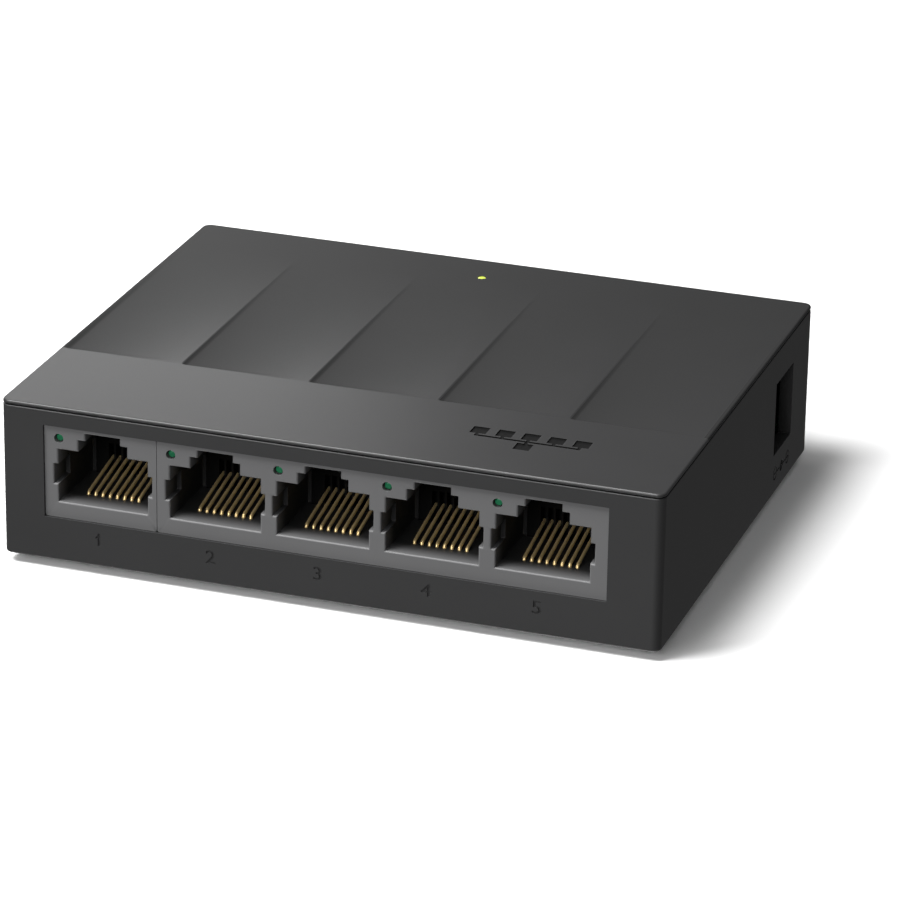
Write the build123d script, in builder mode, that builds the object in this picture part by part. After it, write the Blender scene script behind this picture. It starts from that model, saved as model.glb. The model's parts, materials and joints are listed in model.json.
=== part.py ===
"""Desktop Ethernet switch: a plastic tub with a screwed-down cover, five modular jacks and a DC inlet.

Millimetres. X runs to the right as seen from the ports, Y runs to the rear and Z runs up.
The origin is on the table, under the middle of the case.
"""

from build123d import *
import os
from math import atan2, cos, degrees, radians, sin

os.makedirs("parts", exist_ok=True)

# Case: a tub with four walls, and a flat cover that drops into it
case_depth = 72.5
left_margin = 6.0
right_margin = 7.15
wall = 1.8
floor_thickness = 1.8
roof_thickness = 2.0
corner_radius = 1.2
least_inner_radius = 0.4
edge_chamfer = 0.3
rim_height = 0.45
groove_height = 0.25
groove_depth = 0.6
lip_depth = 1.75
lip_thickness = 1.2
lip_clearance = 0.15

# Cover: a flat front band, then saw-tooth facets that fade out towards the rear
facet_count = 5
band_depth = 20.1
facet_length = 43.6
facet_depth = 0.3
facet_rim = 0.6
facet_shift = -0.6
facet_overrun = 0.02
facet_headroom = 1.0

# Engraved marks: port numbers, a plain network symbol on the band, a polarity symbol by the inlet
engrave_depth = 0.2
stroke_width = 0.26
number_width = 1.05
number_height = 1.7
number_drop = 2.35
number_shift = -0.5
symbol_width = 16.0
symbol_height = 5.6
symbol_box = 2.2
symbol_stroke = 0.5
symbol_x = 23.6
symbol_rear_gap = 9.6
polarity_ring = 0.85
polarity_pitch = 3.2
polarity_drop = 3.1

# Feet, wall-hanging keyholes, vents and the blank rating label under the floor
foot_height = 1.3
foot_radius = 4.5
foot_recess = 0.6
foot_clearance = 0.15
foot_side_gap = 9.0
foot_front_gap = 8.75
foot_rear_gap = 18.75
keyhole_spacing = 60.0
keyhole_y = 1.0
keyhole_head_radius = 3.5
keyhole_neck_radius = 1.9
keyhole_neck_length = 5.0
vent_count = 8
vent_pitch = 3.4
vent_width = 1.6
vent_length = 16.0
vent_y = 17.0
label_width = 44.0
label_length = 20.0
label_thickness = 0.15
label_recess = 0.2
label_clearance = 0.2
label_y = -17.0

# Circuit board and the screws that clamp it between the tub and the cover
board_thickness = 1.6
board_side_gap = 0.6
board_front_gap = 0.85
board_rear_gap = 1.85
board_corner_radius = 1.0
standoff_height = 2.65
standoff_radius = 2.9
boss_radius = 2.4
boss_hole_depth = 7.5
screw_inset = 3.6
screw_lamp_gap = 0.2
screw_rear_inset = 4.85
screw_radius = 1.1
screw_length = 9.5
screw_head_radius = 2.1
screw_head_height = 1.5
screw_head_recess = 2.6
screw_clearance = 0.3
thread_clearance = 0.05
head_clearance = 0.2
drive_radius = 0.85
drive_depth = 0.8

# Modular jacks: one single housing for port 1 and one gang of four for ports 2 to 5
gang_ports = 4
port_wall = 2.3
single_left_wall = 1.9
single_right_wall = 1.3
gang_left_wall = 1.8
gang_right_wall = 2.4
jack_seam = 0.05
jack_top_wall = 0.6
jack_depth = 15.5
jack_recess = 0.3
jack_window_gap = 0.1
jack_headroom = 0.8
mouth_half_width = 6.25
mouth_floor = 2.25
mouth_height = 7.35
side_slot_width = 0.6
side_slot_rise = 2.5
side_slot_height = 2.75
side_slot_depth = 4.0
latch_half_width = 3.4
latch_height = 1.6
tongue_half_width = 2.4
tongue_height = 1.05
mouth_depth = 11.5
mouth_chamfer = 0.25
edge_margin = 0.01
peg_radius = 1.5
peg_length = 2.4
peg_clearance = 0.1
peg_setback = 10.0

# Contacts: eight sprung wires a port, each bent over a pivot near the mouth
wire_count = 8
wire_pitch = 1.016
wire_radius = 0.23
wire_setback = 4.1
wire_slope = 12.0
wire_bend_radius = 0.45
wire_stub = 0.25
wire_drop = 0.1
wire_gap = 0.12
wire_slot_clearance = 0.07
tail_length = 0.7
tail_hole_clearance = 0.08
carrier_side_ledge = 0.55
carrier_top_ledge = 1.2
carrier_clearance = 0.05
comb_reach = 0.8
comb_end_gap = 0.9
comb_clearance = 0.15
comb_slot_height = 4.2

# Port lights: a lamp on the board behind each jack and a bent light pipe to the jack's face
port_light_side_gap = 2.7
port_light_drop = 1.7
port_light_radius = 0.6
port_light_clearance = 0.06
port_light_setback = 0.45
port_light_overhang = 1.6
port_light_bend = 1.2
lamp_length = 1.6
lamp_width = 0.8
lamp_height = 0.6
lamp_gap = 0.25

# Power light: a stepped rod from a lamp on the board up to the cover
power_light_x = -0.9
power_light_rear_gap = 6.8
power_tip_radius = 0.6
power_rod_radius = 1.2
power_tip_length = 2.6
power_collar_wall = 0.9
power_collar_length = 4.0
power_light_clearance = 0.05

# DC inlet
inlet_length = 13.5
inlet_width = 8.6
inlet_height = 10.2
inlet_boss_gap = 0.5
inlet_wall_gap = 0.3
inlet_window_gap = 0.15
inlet_axis_height = 5.6
inlet_bore_radius = 3.15
inlet_bore_depth = 10.0
inlet_pin_radius = 1.0
inlet_pin_setback = 2.3
inlet_pin_tail = 3.0
leaf_thickness = 0.3
leaf_width = 2.2
leaf_length = 6.2
leaf_slope = 7.0
leaf_drop = 0.65
leaf_side_gap = 0.25
leaf_end_gap = 0.5
leaf_under_gap = 0.85
terminal_width = 2.4
terminal_thickness = 0.8
terminal_length = 2.3
terminal_clearance = 0.25
terminal_pitch = 4.6

# Parts on the board
module_width = 9.6
module_length = 15.0
module_height = 5.4
module_gap = 2.2
module_chamfer = 0.5
chip_size = 10.0
chip_height = 0.9
chip_chamfer = 0.15
chip_gap = 5.5
chip_x = 2.0
crystal_length = 11.0
crystal_width = 4.6
crystal_height = 3.4
crystal_chip_gap = 4.0
can_radius = 3.15
can_height = 7.6
can_pitch = 7.6
can_x = 27.5
can_gap = 4.2
inductor_size = 7.0
inductor_height = 3.2
inductor_inlet_gap = 3.0
regulator_length = 4.9
regulator_width = 3.9
regulator_height = 1.5
regulator_gap = 2.0
small_part_length = 1.6
small_part_width = 0.8
small_part_height = 0.7
small_part_pitch = 2.6
small_part_gap = 1.2
small_part_columns = 6

# Jack and port sizes that follow from the mouth
port_pitch = 2 * mouth_half_width + port_wall
jack_height = mouth_floor + mouth_height + latch_height + tongue_height + jack_top_wall
port_light_shift = -latch_half_width - port_light_side_gap
carrier_half_width = mouth_half_width - carrier_side_ledge
carrier_height = mouth_floor + mouth_height - carrier_top_ledge
comb_slot_width = 2 * (wire_radius + comb_clearance)

# Heights, worked out upwards from the table
case_bottom = foot_height
floor_top = case_bottom + floor_thickness
board_bottom = floor_top + standoff_height
board_top = board_bottom + board_thickness
jack_top = board_top + jack_height
roof_bottom = jack_top + jack_headroom
case_top = roof_bottom + roof_thickness
rim_bottom = case_top - rim_height
wall_top = rim_bottom - groove_height
lip_bottom = wall_top - lip_depth

# Port row, worked out from the left wall
single_block = single_left_wall + 2 * mouth_half_width + single_right_wall
gang_mouths = (gang_ports - 1) * port_pitch + 2 * mouth_half_width
gang_block = gang_left_wall + gang_mouths + gang_right_wall
case_width = left_margin + single_block + jack_seam + gang_block + right_margin
left_x = -case_width / 2
right_x = case_width / 2
front_y = -case_depth / 2
rear_y = case_depth / 2
single_left = left_x + left_margin
single_right = single_left + single_block
gang_left = single_right + jack_seam
gang_right = gang_left + gang_block
single_ports_x = [single_left + single_left_wall + mouth_half_width]
gang_first_x = gang_left + gang_left_wall + mouth_half_width
gang_ports_x = [gang_first_x + i * port_pitch for i in range(gang_ports)]
ports_x = single_ports_x + gang_ports_x
face_y = front_y + jack_recess
jack_rear_y = face_y + jack_depth
mouth_rear_y = face_y + mouth_depth
mouth_floor_z = board_top + mouth_floor
shoulder_z = mouth_floor_z + mouth_height
latch_top_z = shoulder_z + latch_height
tongue_top_z = latch_top_z + tongue_height

# Inside faces, board outline and screw places
inner_width = case_width - 2 * wall
inner_depth = case_depth - 2 * wall
inner_radius = max(corner_radius - wall, least_inner_radius)
board_width = inner_width - 2 * board_side_gap
board_front_y = front_y + wall + board_front_gap
board_rear_y = rear_y - wall - board_rear_gap
board_length = board_rear_y - board_front_y
board_y = (board_front_y + board_rear_y) / 2
screw_x = inner_width / 2 - screw_inset
screw_front_y = jack_rear_y + port_light_overhang + lamp_length / 2 + screw_lamp_gap + boss_radius
screw_rear_y = rear_y - wall - screw_rear_inset
screw_places = [(x, y) for x in (-screw_x, screw_x) for y in (screw_front_y, screw_rear_y)]
screw_seat_z = case_bottom + screw_head_recess
power_light_y = rear_y - power_light_rear_gap


# Tub: floor and four walls moulded in one, with windows for the jacks and the inlet

inlet_face_x = right_x - wall - inlet_wall_gap
inlet_y = screw_rear_y - boss_radius - inlet_boss_gap - inlet_width / 2
inlet_axis_z = board_top + inlet_axis_height
front_face = Plane.XZ.offset(-front_y)
right_face = Plane.YZ.offset(right_x)
foot_places = {
    "front_left_foot": (left_x + foot_side_gap, front_y + foot_front_gap),
    "front_right_foot": (right_x - foot_side_gap, front_y + foot_front_gap),
    "rear_left_foot": (left_x + foot_side_gap, rear_y - foot_rear_gap),
    "rear_right_foot": (right_x - foot_side_gap, rear_y - foot_rear_gap),
}


def stroke(start, end, width):
    """One round-ended engraved line on the sketch in hand."""
    run = Vector(*end) - Vector(*start)
    middle = (Vector(*start) + Vector(*end)) * 0.5
    with Locations((middle.X, middle.Y)):
        SlotCenterToCenter(run.length, width, rotation=degrees(atan2(run.Y, run.X)))


def strokes(points, place, size, width):
    """A chain of strokes, its points given in a box one wide and one high round the place."""
    placed = [(place[0] + x * size[0], place[1] + y * size[1]) for x, y in points]
    for start, end in zip(placed, placed[1:]):
        stroke(start, end, width)


number_lines = [
    [(-0.35, 0.3), (0.1, 0.5), (0.1, -0.5)],
    [(-0.5, 0.3), (-0.25, 0.5), (0.25, 0.5), (0.5, 0.25), (0.4, 0), (-0.5, -0.5), (0.5, -0.5)],
    [(-0.5, 0.4), (0, 0.5), (0.45, 0.27), (0, 0.03), (0.5, -0.24), (0, -0.5), (-0.5, -0.38)],
    [(0.2, -0.5), (0.2, 0.5), (-0.5, -0.2), (0.5, -0.2)],
    [(0.45, 0.5), (-0.35, 0.5), (-0.45, 0.03), (0.1, 0.12), (0.5, -0.2), (0.1, -0.5), (-0.5, -0.4)],
]

with BuildPart() as base:
    with BuildSketch(Plane.XY.offset(case_bottom)):
        RectangleRounded(case_width, case_depth, corner_radius)
    extrude(amount=wall_top - case_bottom)
    chamfer(base.faces().sort_by(Axis.Z)[-1].edges(), edge_chamfer)
    chamfer(base.faces().sort_by(Axis.Z)[0].edges(), edge_chamfer)
    with BuildSketch(Plane.XY.offset(floor_top)):
        RectangleRounded(inner_width, inner_depth, inner_radius)
    extrude(amount=wall_top - floor_top, mode=Mode.SUBTRACT)
    # Standoffs under the board, with a counterbored screw hole up each one
    with BuildSketch(Plane.XY.offset(floor_top)):
        with Locations(*screw_places):
            Circle(standoff_radius)
    extrude(amount=standoff_height)
    with BuildSketch(Plane.XY.offset(case_bottom)):
        with Locations(*screw_places):
            Circle(screw_radius + screw_clearance)
    extrude(amount=board_bottom - case_bottom, mode=Mode.SUBTRACT)
    with BuildSketch(Plane.XY.offset(case_bottom)):
        with Locations(*screw_places):
            Circle(screw_head_radius + head_clearance)
    extrude(amount=screw_head_recess, mode=Mode.SUBTRACT)
    # Front window for the jacks
    with BuildSketch(front_face):
        with Locations(((single_left + gang_right) / 2, board_top + jack_height / 2)):
            Rectangle(gang_right - single_left + 2 * jack_window_gap, jack_height + 2 * jack_window_gap)
    extrude(amount=-wall, mode=Mode.SUBTRACT)
    # Side window for the inlet
    with BuildSketch(right_face):
        with Locations((inlet_y, board_top + inlet_height / 2)):
            Rectangle(inlet_width + 2 * inlet_window_gap, inlet_height + 2 * inlet_window_gap)
    extrude(amount=-wall, mode=Mode.SUBTRACT)
    # Port numbers under the jacks
    with BuildSketch(front_face):
        for lines, port_x in zip(number_lines, ports_x):
            place = (port_x + number_shift, board_top - number_drop)
            strokes(lines, place, (number_width, number_height), stroke_width)
    extrude(amount=-engrave_depth, mode=Mode.SUBTRACT)
    # Polarity symbol under the inlet: minus ring, centre dot, plus ring
    with BuildSketch(right_face):
        mark_z = board_top - polarity_drop
        for side in (-1, 1):
            ring_y = inlet_y + side * polarity_pitch
            with Locations((ring_y, mark_z)):
                Circle(polarity_ring + stroke_width / 2)
                Circle(polarity_ring - stroke_width / 2, mode=Mode.SUBTRACT)
            dot_edge_y = inlet_y + side * polarity_ring
            ring_edge_y = ring_y - side * polarity_ring
            stroke((ring_y - polarity_ring / 2, mark_z), (ring_y + polarity_ring / 2, mark_z), stroke_width)
            stroke((dot_edge_y, mark_z), (ring_edge_y, mark_z), stroke_width)
        plus_y = inlet_y + polarity_pitch
        stroke((plus_y, mark_z - polarity_ring / 2), (plus_y, mark_z + polarity_ring / 2), stroke_width)
        with Locations((inlet_y, mark_z)):
            Circle(polarity_ring)
    extrude(amount=-engrave_depth, mode=Mode.SUBTRACT)
    # Underside: recesses for the feet and the label, keyholes and vents
    with BuildSketch(Plane.XY.offset(case_bottom)):
        with Locations(*foot_places.values()):
            Circle(foot_radius + foot_clearance)
    extrude(amount=foot_recess, mode=Mode.SUBTRACT)
    with BuildSketch(Plane.XY.offset(case_bottom)):
        with Locations((0, label_y)):
            Rectangle(label_width + 2 * label_clearance, label_length + 2 * label_clearance)
    extrude(amount=label_recess, mode=Mode.SUBTRACT)
    with BuildSketch(Plane.XY.offset(case_bottom)):
        with Locations((-keyhole_spacing / 2, keyhole_y), (keyhole_spacing / 2, keyhole_y)):
            Circle(keyhole_head_radius)
        for keyhole_x in (-keyhole_spacing / 2, keyhole_spacing / 2):
            neck_end = keyhole_y + keyhole_neck_length
            stroke((keyhole_x, keyhole_y), (keyhole_x, neck_end), 2 * keyhole_neck_radius)
        with Locations((0, vent_y)):
            with GridLocations(vent_pitch, 0, vent_count, 1):
                SlotOverall(vent_length, vent_width, rotation=90)
    extrude(amount=floor_thickness, mode=Mode.SUBTRACT)
base.part.label = "base"
export_step(base.part, "parts/base.step")


# Cover: flat plate with a rim, a groove under it, a locating lip, bosses and the saw-tooth facets

band_y = front_y + band_depth
facet_rear_y = band_y + facet_length
facet_pitch = case_width / facet_count

with BuildPart() as top_cover:
    with BuildSketch(Plane.XY.offset(rim_bottom)):
        RectangleRounded(case_width, case_depth, corner_radius)
    extrude(amount=rim_height)
    chamfer(top_cover.faces().sort_by(Axis.Z)[-1].edges(), edge_chamfer)
    with BuildSketch(Plane.XY.offset(wall_top)):
        RectangleRounded(case_width - 2 * groove_depth, case_depth - 2 * groove_depth, corner_radius / 2)
    extrude(amount=groove_height)
    with BuildSketch(Plane.XY.offset(roof_bottom)):
        RectangleRounded(inner_width - 2 * lip_clearance, inner_depth - 2 * lip_clearance, inner_radius)
    extrude(amount=wall_top - roof_bottom)
    with BuildSketch(Plane.XY.offset(lip_bottom)):
        lip_width = inner_width - 2 * lip_clearance
        lip_length = inner_depth - 2 * lip_clearance
        RectangleRounded(lip_width, lip_length, inner_radius)
        Rectangle(lip_width - 2 * lip_thickness, lip_length - 2 * lip_thickness, mode=Mode.SUBTRACT)
    extrude(amount=roof_bottom - lip_bottom)
    # Screw bosses that press the board down on the standoffs
    with BuildSketch(Plane.XY.offset(board_top)):
        with Locations(*screw_places):
            Circle(boss_radius)
    extrude(amount=roof_bottom - board_top)
    with BuildSketch(Plane.XY.offset(board_top)):
        with Locations(*screw_places):
            Circle(screw_radius + thread_clearance)
    extrude(amount=boss_hole_depth, mode=Mode.SUBTRACT)
    # Collar and hole for the power light
    with BuildSketch(Plane.XY.offset(roof_bottom - power_collar_length)):
        with Locations((power_light_x, power_light_y)):
            Circle(power_rod_radius + power_light_clearance + power_collar_wall)
    extrude(amount=power_collar_length)
    with BuildSketch(Plane.XY.offset(roof_bottom - power_collar_length)):
        with Locations((power_light_x, power_light_y)):
            Circle(power_rod_radius + power_light_clearance)
    extrude(amount=case_top - power_tip_length - roof_bottom + power_collar_length, mode=Mode.SUBTRACT)
    with BuildSketch(Plane.XY.offset(case_top - power_tip_length)):
        with Locations((power_light_x, power_light_y)):
            Circle(power_tip_radius + power_light_clearance)
    extrude(amount=power_tip_length, mode=Mode.SUBTRACT)
    # Facets: each is deepest at its front left corner and flush along its right and rear edges
    for i in range(facet_count):
        facet_left = left_x + (i * facet_pitch + facet_shift if i else facet_rim)
        facet_right = left_x + (i + 1) * facet_pitch + (facet_shift if i < facet_count - 1 else 0)
        for y, depth in ((band_y, facet_depth), (facet_rear_y, -facet_overrun)):
            with BuildSketch(Plane.XZ.offset(-y)):
                with BuildLine():
                    Polyline(
                        (facet_left, case_top - depth),
                        (facet_right, case_top + facet_overrun),
                        (facet_right, case_top + facet_headroom),
                        (facet_left, case_top + facet_headroom),
                        close=True,
                    )
                make_face()
        loft(ruled=True, mode=Mode.SUBTRACT)
    # Plain network symbol on the band: a bus line, one box above it and a box for each port below
    with BuildSketch(Plane.XY.offset(case_top)):
        symbol_y = band_y - symbol_rear_gap
        bar_half = symbol_width / 2 - symbol_box / 2
        rise = symbol_height / 2 - symbol_box / 2
        stroke((symbol_x - bar_half, symbol_y), (symbol_x + bar_half, symbol_y), symbol_stroke)
        stroke((symbol_x, symbol_y), (symbol_x, symbol_y - rise), symbol_stroke)
        with Locations((symbol_x, symbol_y - rise)):
            Rectangle(symbol_box, symbol_box)
        for i in range(len(ports_x)):
            box_x = symbol_x - bar_half + i * 2 * bar_half / (len(ports_x) - 1)
            stroke((box_x, symbol_y), (box_x, symbol_y + rise), symbol_stroke)
            with Locations((box_x, symbol_y + rise)):
                Rectangle(symbol_box, symbol_box)
    extrude(amount=-engrave_depth, mode=Mode.SUBTRACT)
top_cover.part.label = "top_cover"
export_step(top_cover.part, "parts/top_cover.step")


# Feet, label and screws under the case

for foot_name, foot_place in foot_places.items():
    with BuildPart() as foot:
        with BuildSketch(Plane.XY):
            with Locations(foot_place):
                Circle(foot_radius)
        extrude(amount=foot_height + foot_recess)
        chamfer(foot.faces().sort_by(Axis.Z)[0].edges(), edge_chamfer)
    foot.part.label = foot_name
    export_step(foot.part, f"parts/{foot_name}.step")

with BuildPart() as rating_label:
    with BuildSketch(Plane.XY.offset(case_bottom + label_recess - label_thickness)):
        with Locations((0, label_y)):
            RectangleRounded(label_width, label_length, corner_radius)
    extrude(amount=label_thickness)
rating_label.part.label = "rating_label"
export_step(rating_label.part, "parts/rating_label.step")

with BuildPart() as case_screws:
    with BuildSketch(Plane.XY.offset(screw_seat_z - screw_head_height)):
        with Locations(*screw_places):
            Circle(screw_head_radius)
    extrude(amount=screw_head_height)
    with BuildSketch(Plane.XY.offset(screw_seat_z)):
        with Locations(*screw_places):
            Circle(screw_radius)
    extrude(amount=screw_length)
    with BuildSketch(Plane.XY.offset(screw_seat_z - screw_head_height)):
        with Locations(*screw_places):
            Rectangle(2 * drive_radius, drive_radius / 2)
            Rectangle(drive_radius / 2, 2 * drive_radius)
    extrude(amount=drive_depth, mode=Mode.SUBTRACT)
case_screws.part.label = "case_screws"
export_step(case_screws.part, "parts/case_screws.step")


# Places of the contacts, and of the inlet's terminals, which the board has holes for

pivot_y = face_y + wire_setback
pivot_z = mouth_floor_z - wire_drop
tail_y = pivot_y - wire_bend_radius
peg_y = face_y + peg_setback
wire_offsets = [(i - (wire_count - 1) / 2) * wire_pitch for i in range(wire_count)]
peg_places = [(x, peg_y) for x in (ports_x[0], gang_ports_x[0], gang_ports_x[-1])]
terminal_x = inlet_face_x - inlet_length + terminal_thickness
terminal_places = [(terminal_x + i * terminal_pitch, inlet_y) for i in range(3)]

with BuildPart() as main_board:
    with BuildSketch(Plane.XY.offset(board_bottom)):
        with Locations((0, board_y)):
            RectangleRounded(board_width, board_length, board_corner_radius)
        with Locations(*screw_places):
            Circle(screw_radius + screw_clearance, mode=Mode.SUBTRACT)
        with Locations(*peg_places):
            Circle(peg_radius + peg_clearance, mode=Mode.SUBTRACT)
        with Locations(*[(x + offset, tail_y) for x in ports_x for offset in wire_offsets]):
            Circle(wire_radius + tail_hole_clearance, mode=Mode.SUBTRACT)
        with Locations(*terminal_places):
            Rectangle(
                terminal_thickness + 2 * terminal_clearance,
                terminal_width + 2 * terminal_clearance,
                mode=Mode.SUBTRACT,
            )
    extrude(amount=board_thickness)
main_board.part.label = "main_board"
export_step(main_board.part, "parts/main_board.step")


# Jack housings: grey blocks with a plug cavity and a stepped latch notch for each port

face_plane = Plane.XZ.offset(-face_y)
rear_plane = Plane.XZ.offset(-jack_rear_y)
light_z = jack_top - port_light_drop
jack_blocks = {
    "jack_housing_single": (single_left, single_right, single_ports_x, peg_places[:1]),
    "jack_housing_gang": (gang_left, gang_right, gang_ports_x, peg_places[1:]),
}

for jack_name, (block_left, block_right, block_ports_x, block_pegs) in jack_blocks.items():
    with BuildPart() as jack_housing:
        with BuildSketch(face_plane):
            with Locations(((block_left + block_right) / 2, board_top + jack_height / 2)):
                Rectangle(block_right - block_left, jack_height)
        extrude(amount=-jack_depth)
        # Plug cavity: body width up to the shoulder, then the two steps of the latch notch
        with BuildSketch(face_plane):
            for port_x in block_ports_x:
                with Locations((port_x, (mouth_floor_z + shoulder_z) / 2)):
                    Rectangle(2 * mouth_half_width, mouth_height)
                with Locations((port_x, (shoulder_z + latch_top_z) / 2)):
                    Rectangle(2 * latch_half_width, latch_height)
                with Locations((port_x, (latch_top_z + tongue_top_z) / 2)):
                    Rectangle(2 * tongue_half_width, tongue_height)
        extrude(amount=-mouth_depth, mode=Mode.SUBTRACT)
        # Slots in both side walls at the mouth
        with BuildSketch(face_plane):
            slot_z = mouth_floor_z + side_slot_rise + side_slot_height / 2
            for port_x in block_ports_x:
                with Locations((port_x, slot_z)):
                    Rectangle(2 * (mouth_half_width + side_slot_width), side_slot_height)
        extrude(amount=-side_slot_depth, mode=Mode.SUBTRACT)
        # Pocket at the back for the contact carrier
        with BuildSketch(rear_plane):
            for port_x in block_ports_x:
                with Locations((port_x, board_top + (carrier_height + carrier_clearance) / 2)):
                    Rectangle(
                        2 * (carrier_half_width + carrier_clearance), carrier_height + carrier_clearance
                    )
        extrude(amount=jack_depth - mouth_depth, mode=Mode.SUBTRACT)
        # Slits in the floor for the wires, and the light pipe's hole
        with BuildSketch(Plane.XY.offset(board_top)):
            slit_front = tail_y - wire_radius - wire_slot_clearance
            slit_width = 2 * (wire_radius + wire_slot_clearance)
            for port_x in block_ports_x:
                with Locations(*[(port_x + x, (slit_front + pivot_y) / 2) for x in wire_offsets]):
                    Rectangle(slit_width, pivot_y - slit_front)
        extrude(amount=mouth_floor, mode=Mode.SUBTRACT)
        with BuildSketch(face_plane):
            with Locations(*[(x + port_light_shift, light_z) for x in block_ports_x]):
                Circle(port_light_radius + port_light_clearance)
        extrude(amount=-jack_depth, mode=Mode.SUBTRACT)
        # Lead-in along the floor of each mouth
        floor_edges = jack_housing.edges().filter_by(Axis.X)
        for axis, place in ((Axis.Z, mouth_floor_z), (Axis.Y, face_y)):
            floor_edges = floor_edges.filter_by_position(axis, place - edge_margin, place + edge_margin)
        chamfer(floor_edges, mouth_chamfer)
        # Pegs that locate the jack on the board
        with BuildSketch(Plane.XY.offset(board_top)):
            with Locations(*block_pegs):
                Circle(peg_radius)
        extrude(amount=-peg_length)
    jack_housing.part.label = jack_name
    export_step(jack_housing.part, f"parts/{jack_name}.step")


# Contacts: sprung wires, their soldered tails and the combed carrier behind them, for each port

bend_angle = 90 - wire_slope
run_start_y = pivot_y - wire_bend_radius * sin(radians(wire_slope))
run_start_z = pivot_z + wire_bend_radius * cos(radians(wire_slope))
run_length = (mouth_rear_y + comb_reach - run_start_y) / cos(radians(wire_slope))
run_direction = (0, cos(radians(wire_slope)), sin(radians(wire_slope)))
tail_top_z = pivot_z - wire_stub - wire_gap

for number, port_x in enumerate(ports_x, start=1):
    with BuildPart() as contacts:
        # Each wire rises from the floor, bends over the pivot and runs up to the comb
        stub_places = [(port_x + offset, tail_y) for offset in wire_offsets]
        with BuildSketch(Plane.XY.offset(pivot_z - wire_stub)):
            with Locations(*stub_places):
                Circle(wire_radius)
        extrude(amount=wire_stub)
        with BuildSketch(Plane.XY.offset(pivot_z)):
            with Locations(*stub_places):
                Circle(wire_radius)
        revolve(axis=Axis((0, pivot_y, pivot_z), (-1, 0, 0)), revolution_arc=bend_angle)
        with BuildSketch(Plane((port_x, run_start_y, run_start_z), x_dir=(1, 0, 0), z_dir=run_direction)):
            with Locations(*[(offset, 0) for offset in wire_offsets]):
                Circle(wire_radius)
        extrude(amount=run_length)
    contacts.part.label = f"port_{number}_contacts"
    export_step(contacts.part, f"parts/port_{number}_contacts.step")

    with BuildPart() as tails:
        with BuildSketch(Plane.XY.offset(board_bottom - tail_length)):
            with Locations(*[(port_x + offset, tail_y) for offset in wire_offsets]):
                Circle(wire_radius)
        extrude(amount=tail_top_z - board_bottom + tail_length)
    tails.part.label = f"port_{number}_tails"
    export_step(tails.part, f"parts/port_{number}_tails.step")

    with BuildPart() as carrier:
        with BuildSketch(rear_plane):
            with Locations((port_x, board_top + carrier_height / 2)):
                Rectangle(2 * carrier_half_width, carrier_height)
        extrude(amount=jack_depth - mouth_depth)
        with BuildSketch(Plane.XZ.offset(-mouth_rear_y)):
            with Locations(*[(port_x + x, mouth_floor_z + comb_slot_height / 2) for x in wire_offsets]):
                Rectangle(comb_slot_width, comb_slot_height)
        extrude(amount=-comb_reach - comb_end_gap, mode=Mode.SUBTRACT)
    carrier.part.label = f"port_{number}_contact_carrier"
    export_step(carrier.part, f"parts/port_{number}_contact_carrier.step")

    with BuildPart() as port_light:
        light_x = port_x + port_light_shift
        leg_y = jack_rear_y + port_light_overhang
        leg_bottom = board_top + lamp_height + lamp_gap
        light_front = face_y + port_light_setback
        with BuildLine(Plane.YZ.offset(light_x)) as light_path:
            FilletPolyline(
                (light_front, light_z), (leg_y, light_z), (leg_y, leg_bottom), radius=port_light_bend
            )
        with BuildSketch(Plane.XZ.offset(-light_front)):
            with Locations((light_x, light_z)):
                Circle(port_light_radius)
        sweep(path=light_path.wires()[0])
    port_light.part.label = f"port_{number}_light_pipe"
    export_step(port_light.part, f"parts/port_{number}_light_pipe.step")

with BuildPart() as port_lamps:
    with BuildSketch(Plane.XY.offset(board_top)):
        with Locations(*[(x + port_light_shift, leg_y) for x in ports_x]):
            Rectangle(lamp_width, lamp_length)
    extrude(amount=lamp_height)
port_lamps.part.label = "port_lamps"
export_step(port_lamps.part, "parts/port_lamps.step")


# Power light: lamp on the board and the stepped light pipe above it

with BuildPart() as power_lamp:
    with BuildSketch(Plane.XY.offset(board_top)):
        with Locations((power_light_x, power_light_y)):
            Rectangle(lamp_length, lamp_width)
    extrude(amount=lamp_height)
power_lamp.part.label = "power_lamp"
export_step(power_lamp.part, "parts/power_lamp.step")

with BuildPart() as power_light_pipe:
    rod_bottom = board_top + lamp_height + lamp_gap
    shoulder_height = case_top - power_tip_length - power_light_clearance
    with BuildSketch(Plane.XY.offset(rod_bottom)):
        with Locations((power_light_x, power_light_y)):
            Circle(power_rod_radius)
    extrude(amount=shoulder_height - rod_bottom)
    with BuildSketch(Plane.XY.offset(shoulder_height)):
        with Locations((power_light_x, power_light_y)):
            Circle(power_tip_radius)
    extrude(amount=case_top - power_light_clearance - shoulder_height)
power_light_pipe.part.label = "power_light_pipe"
export_step(power_light_pipe.part, "parts/power_light_pipe.step")


# DC inlet: moulded body with a round bore, centre pin, sprung leaf and solder terminals

inlet_rear_x = inlet_face_x - inlet_length
bore_end_x = inlet_face_x - inlet_bore_depth
bore_bottom_z = inlet_axis_z - inlet_bore_radius
leaf_pivot_x = bore_end_x + leaf_end_gap
leaf_pivot_z = bore_bottom_z - leaf_drop
leaf_room_x = leaf_pivot_x + leaf_length / 2

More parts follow.
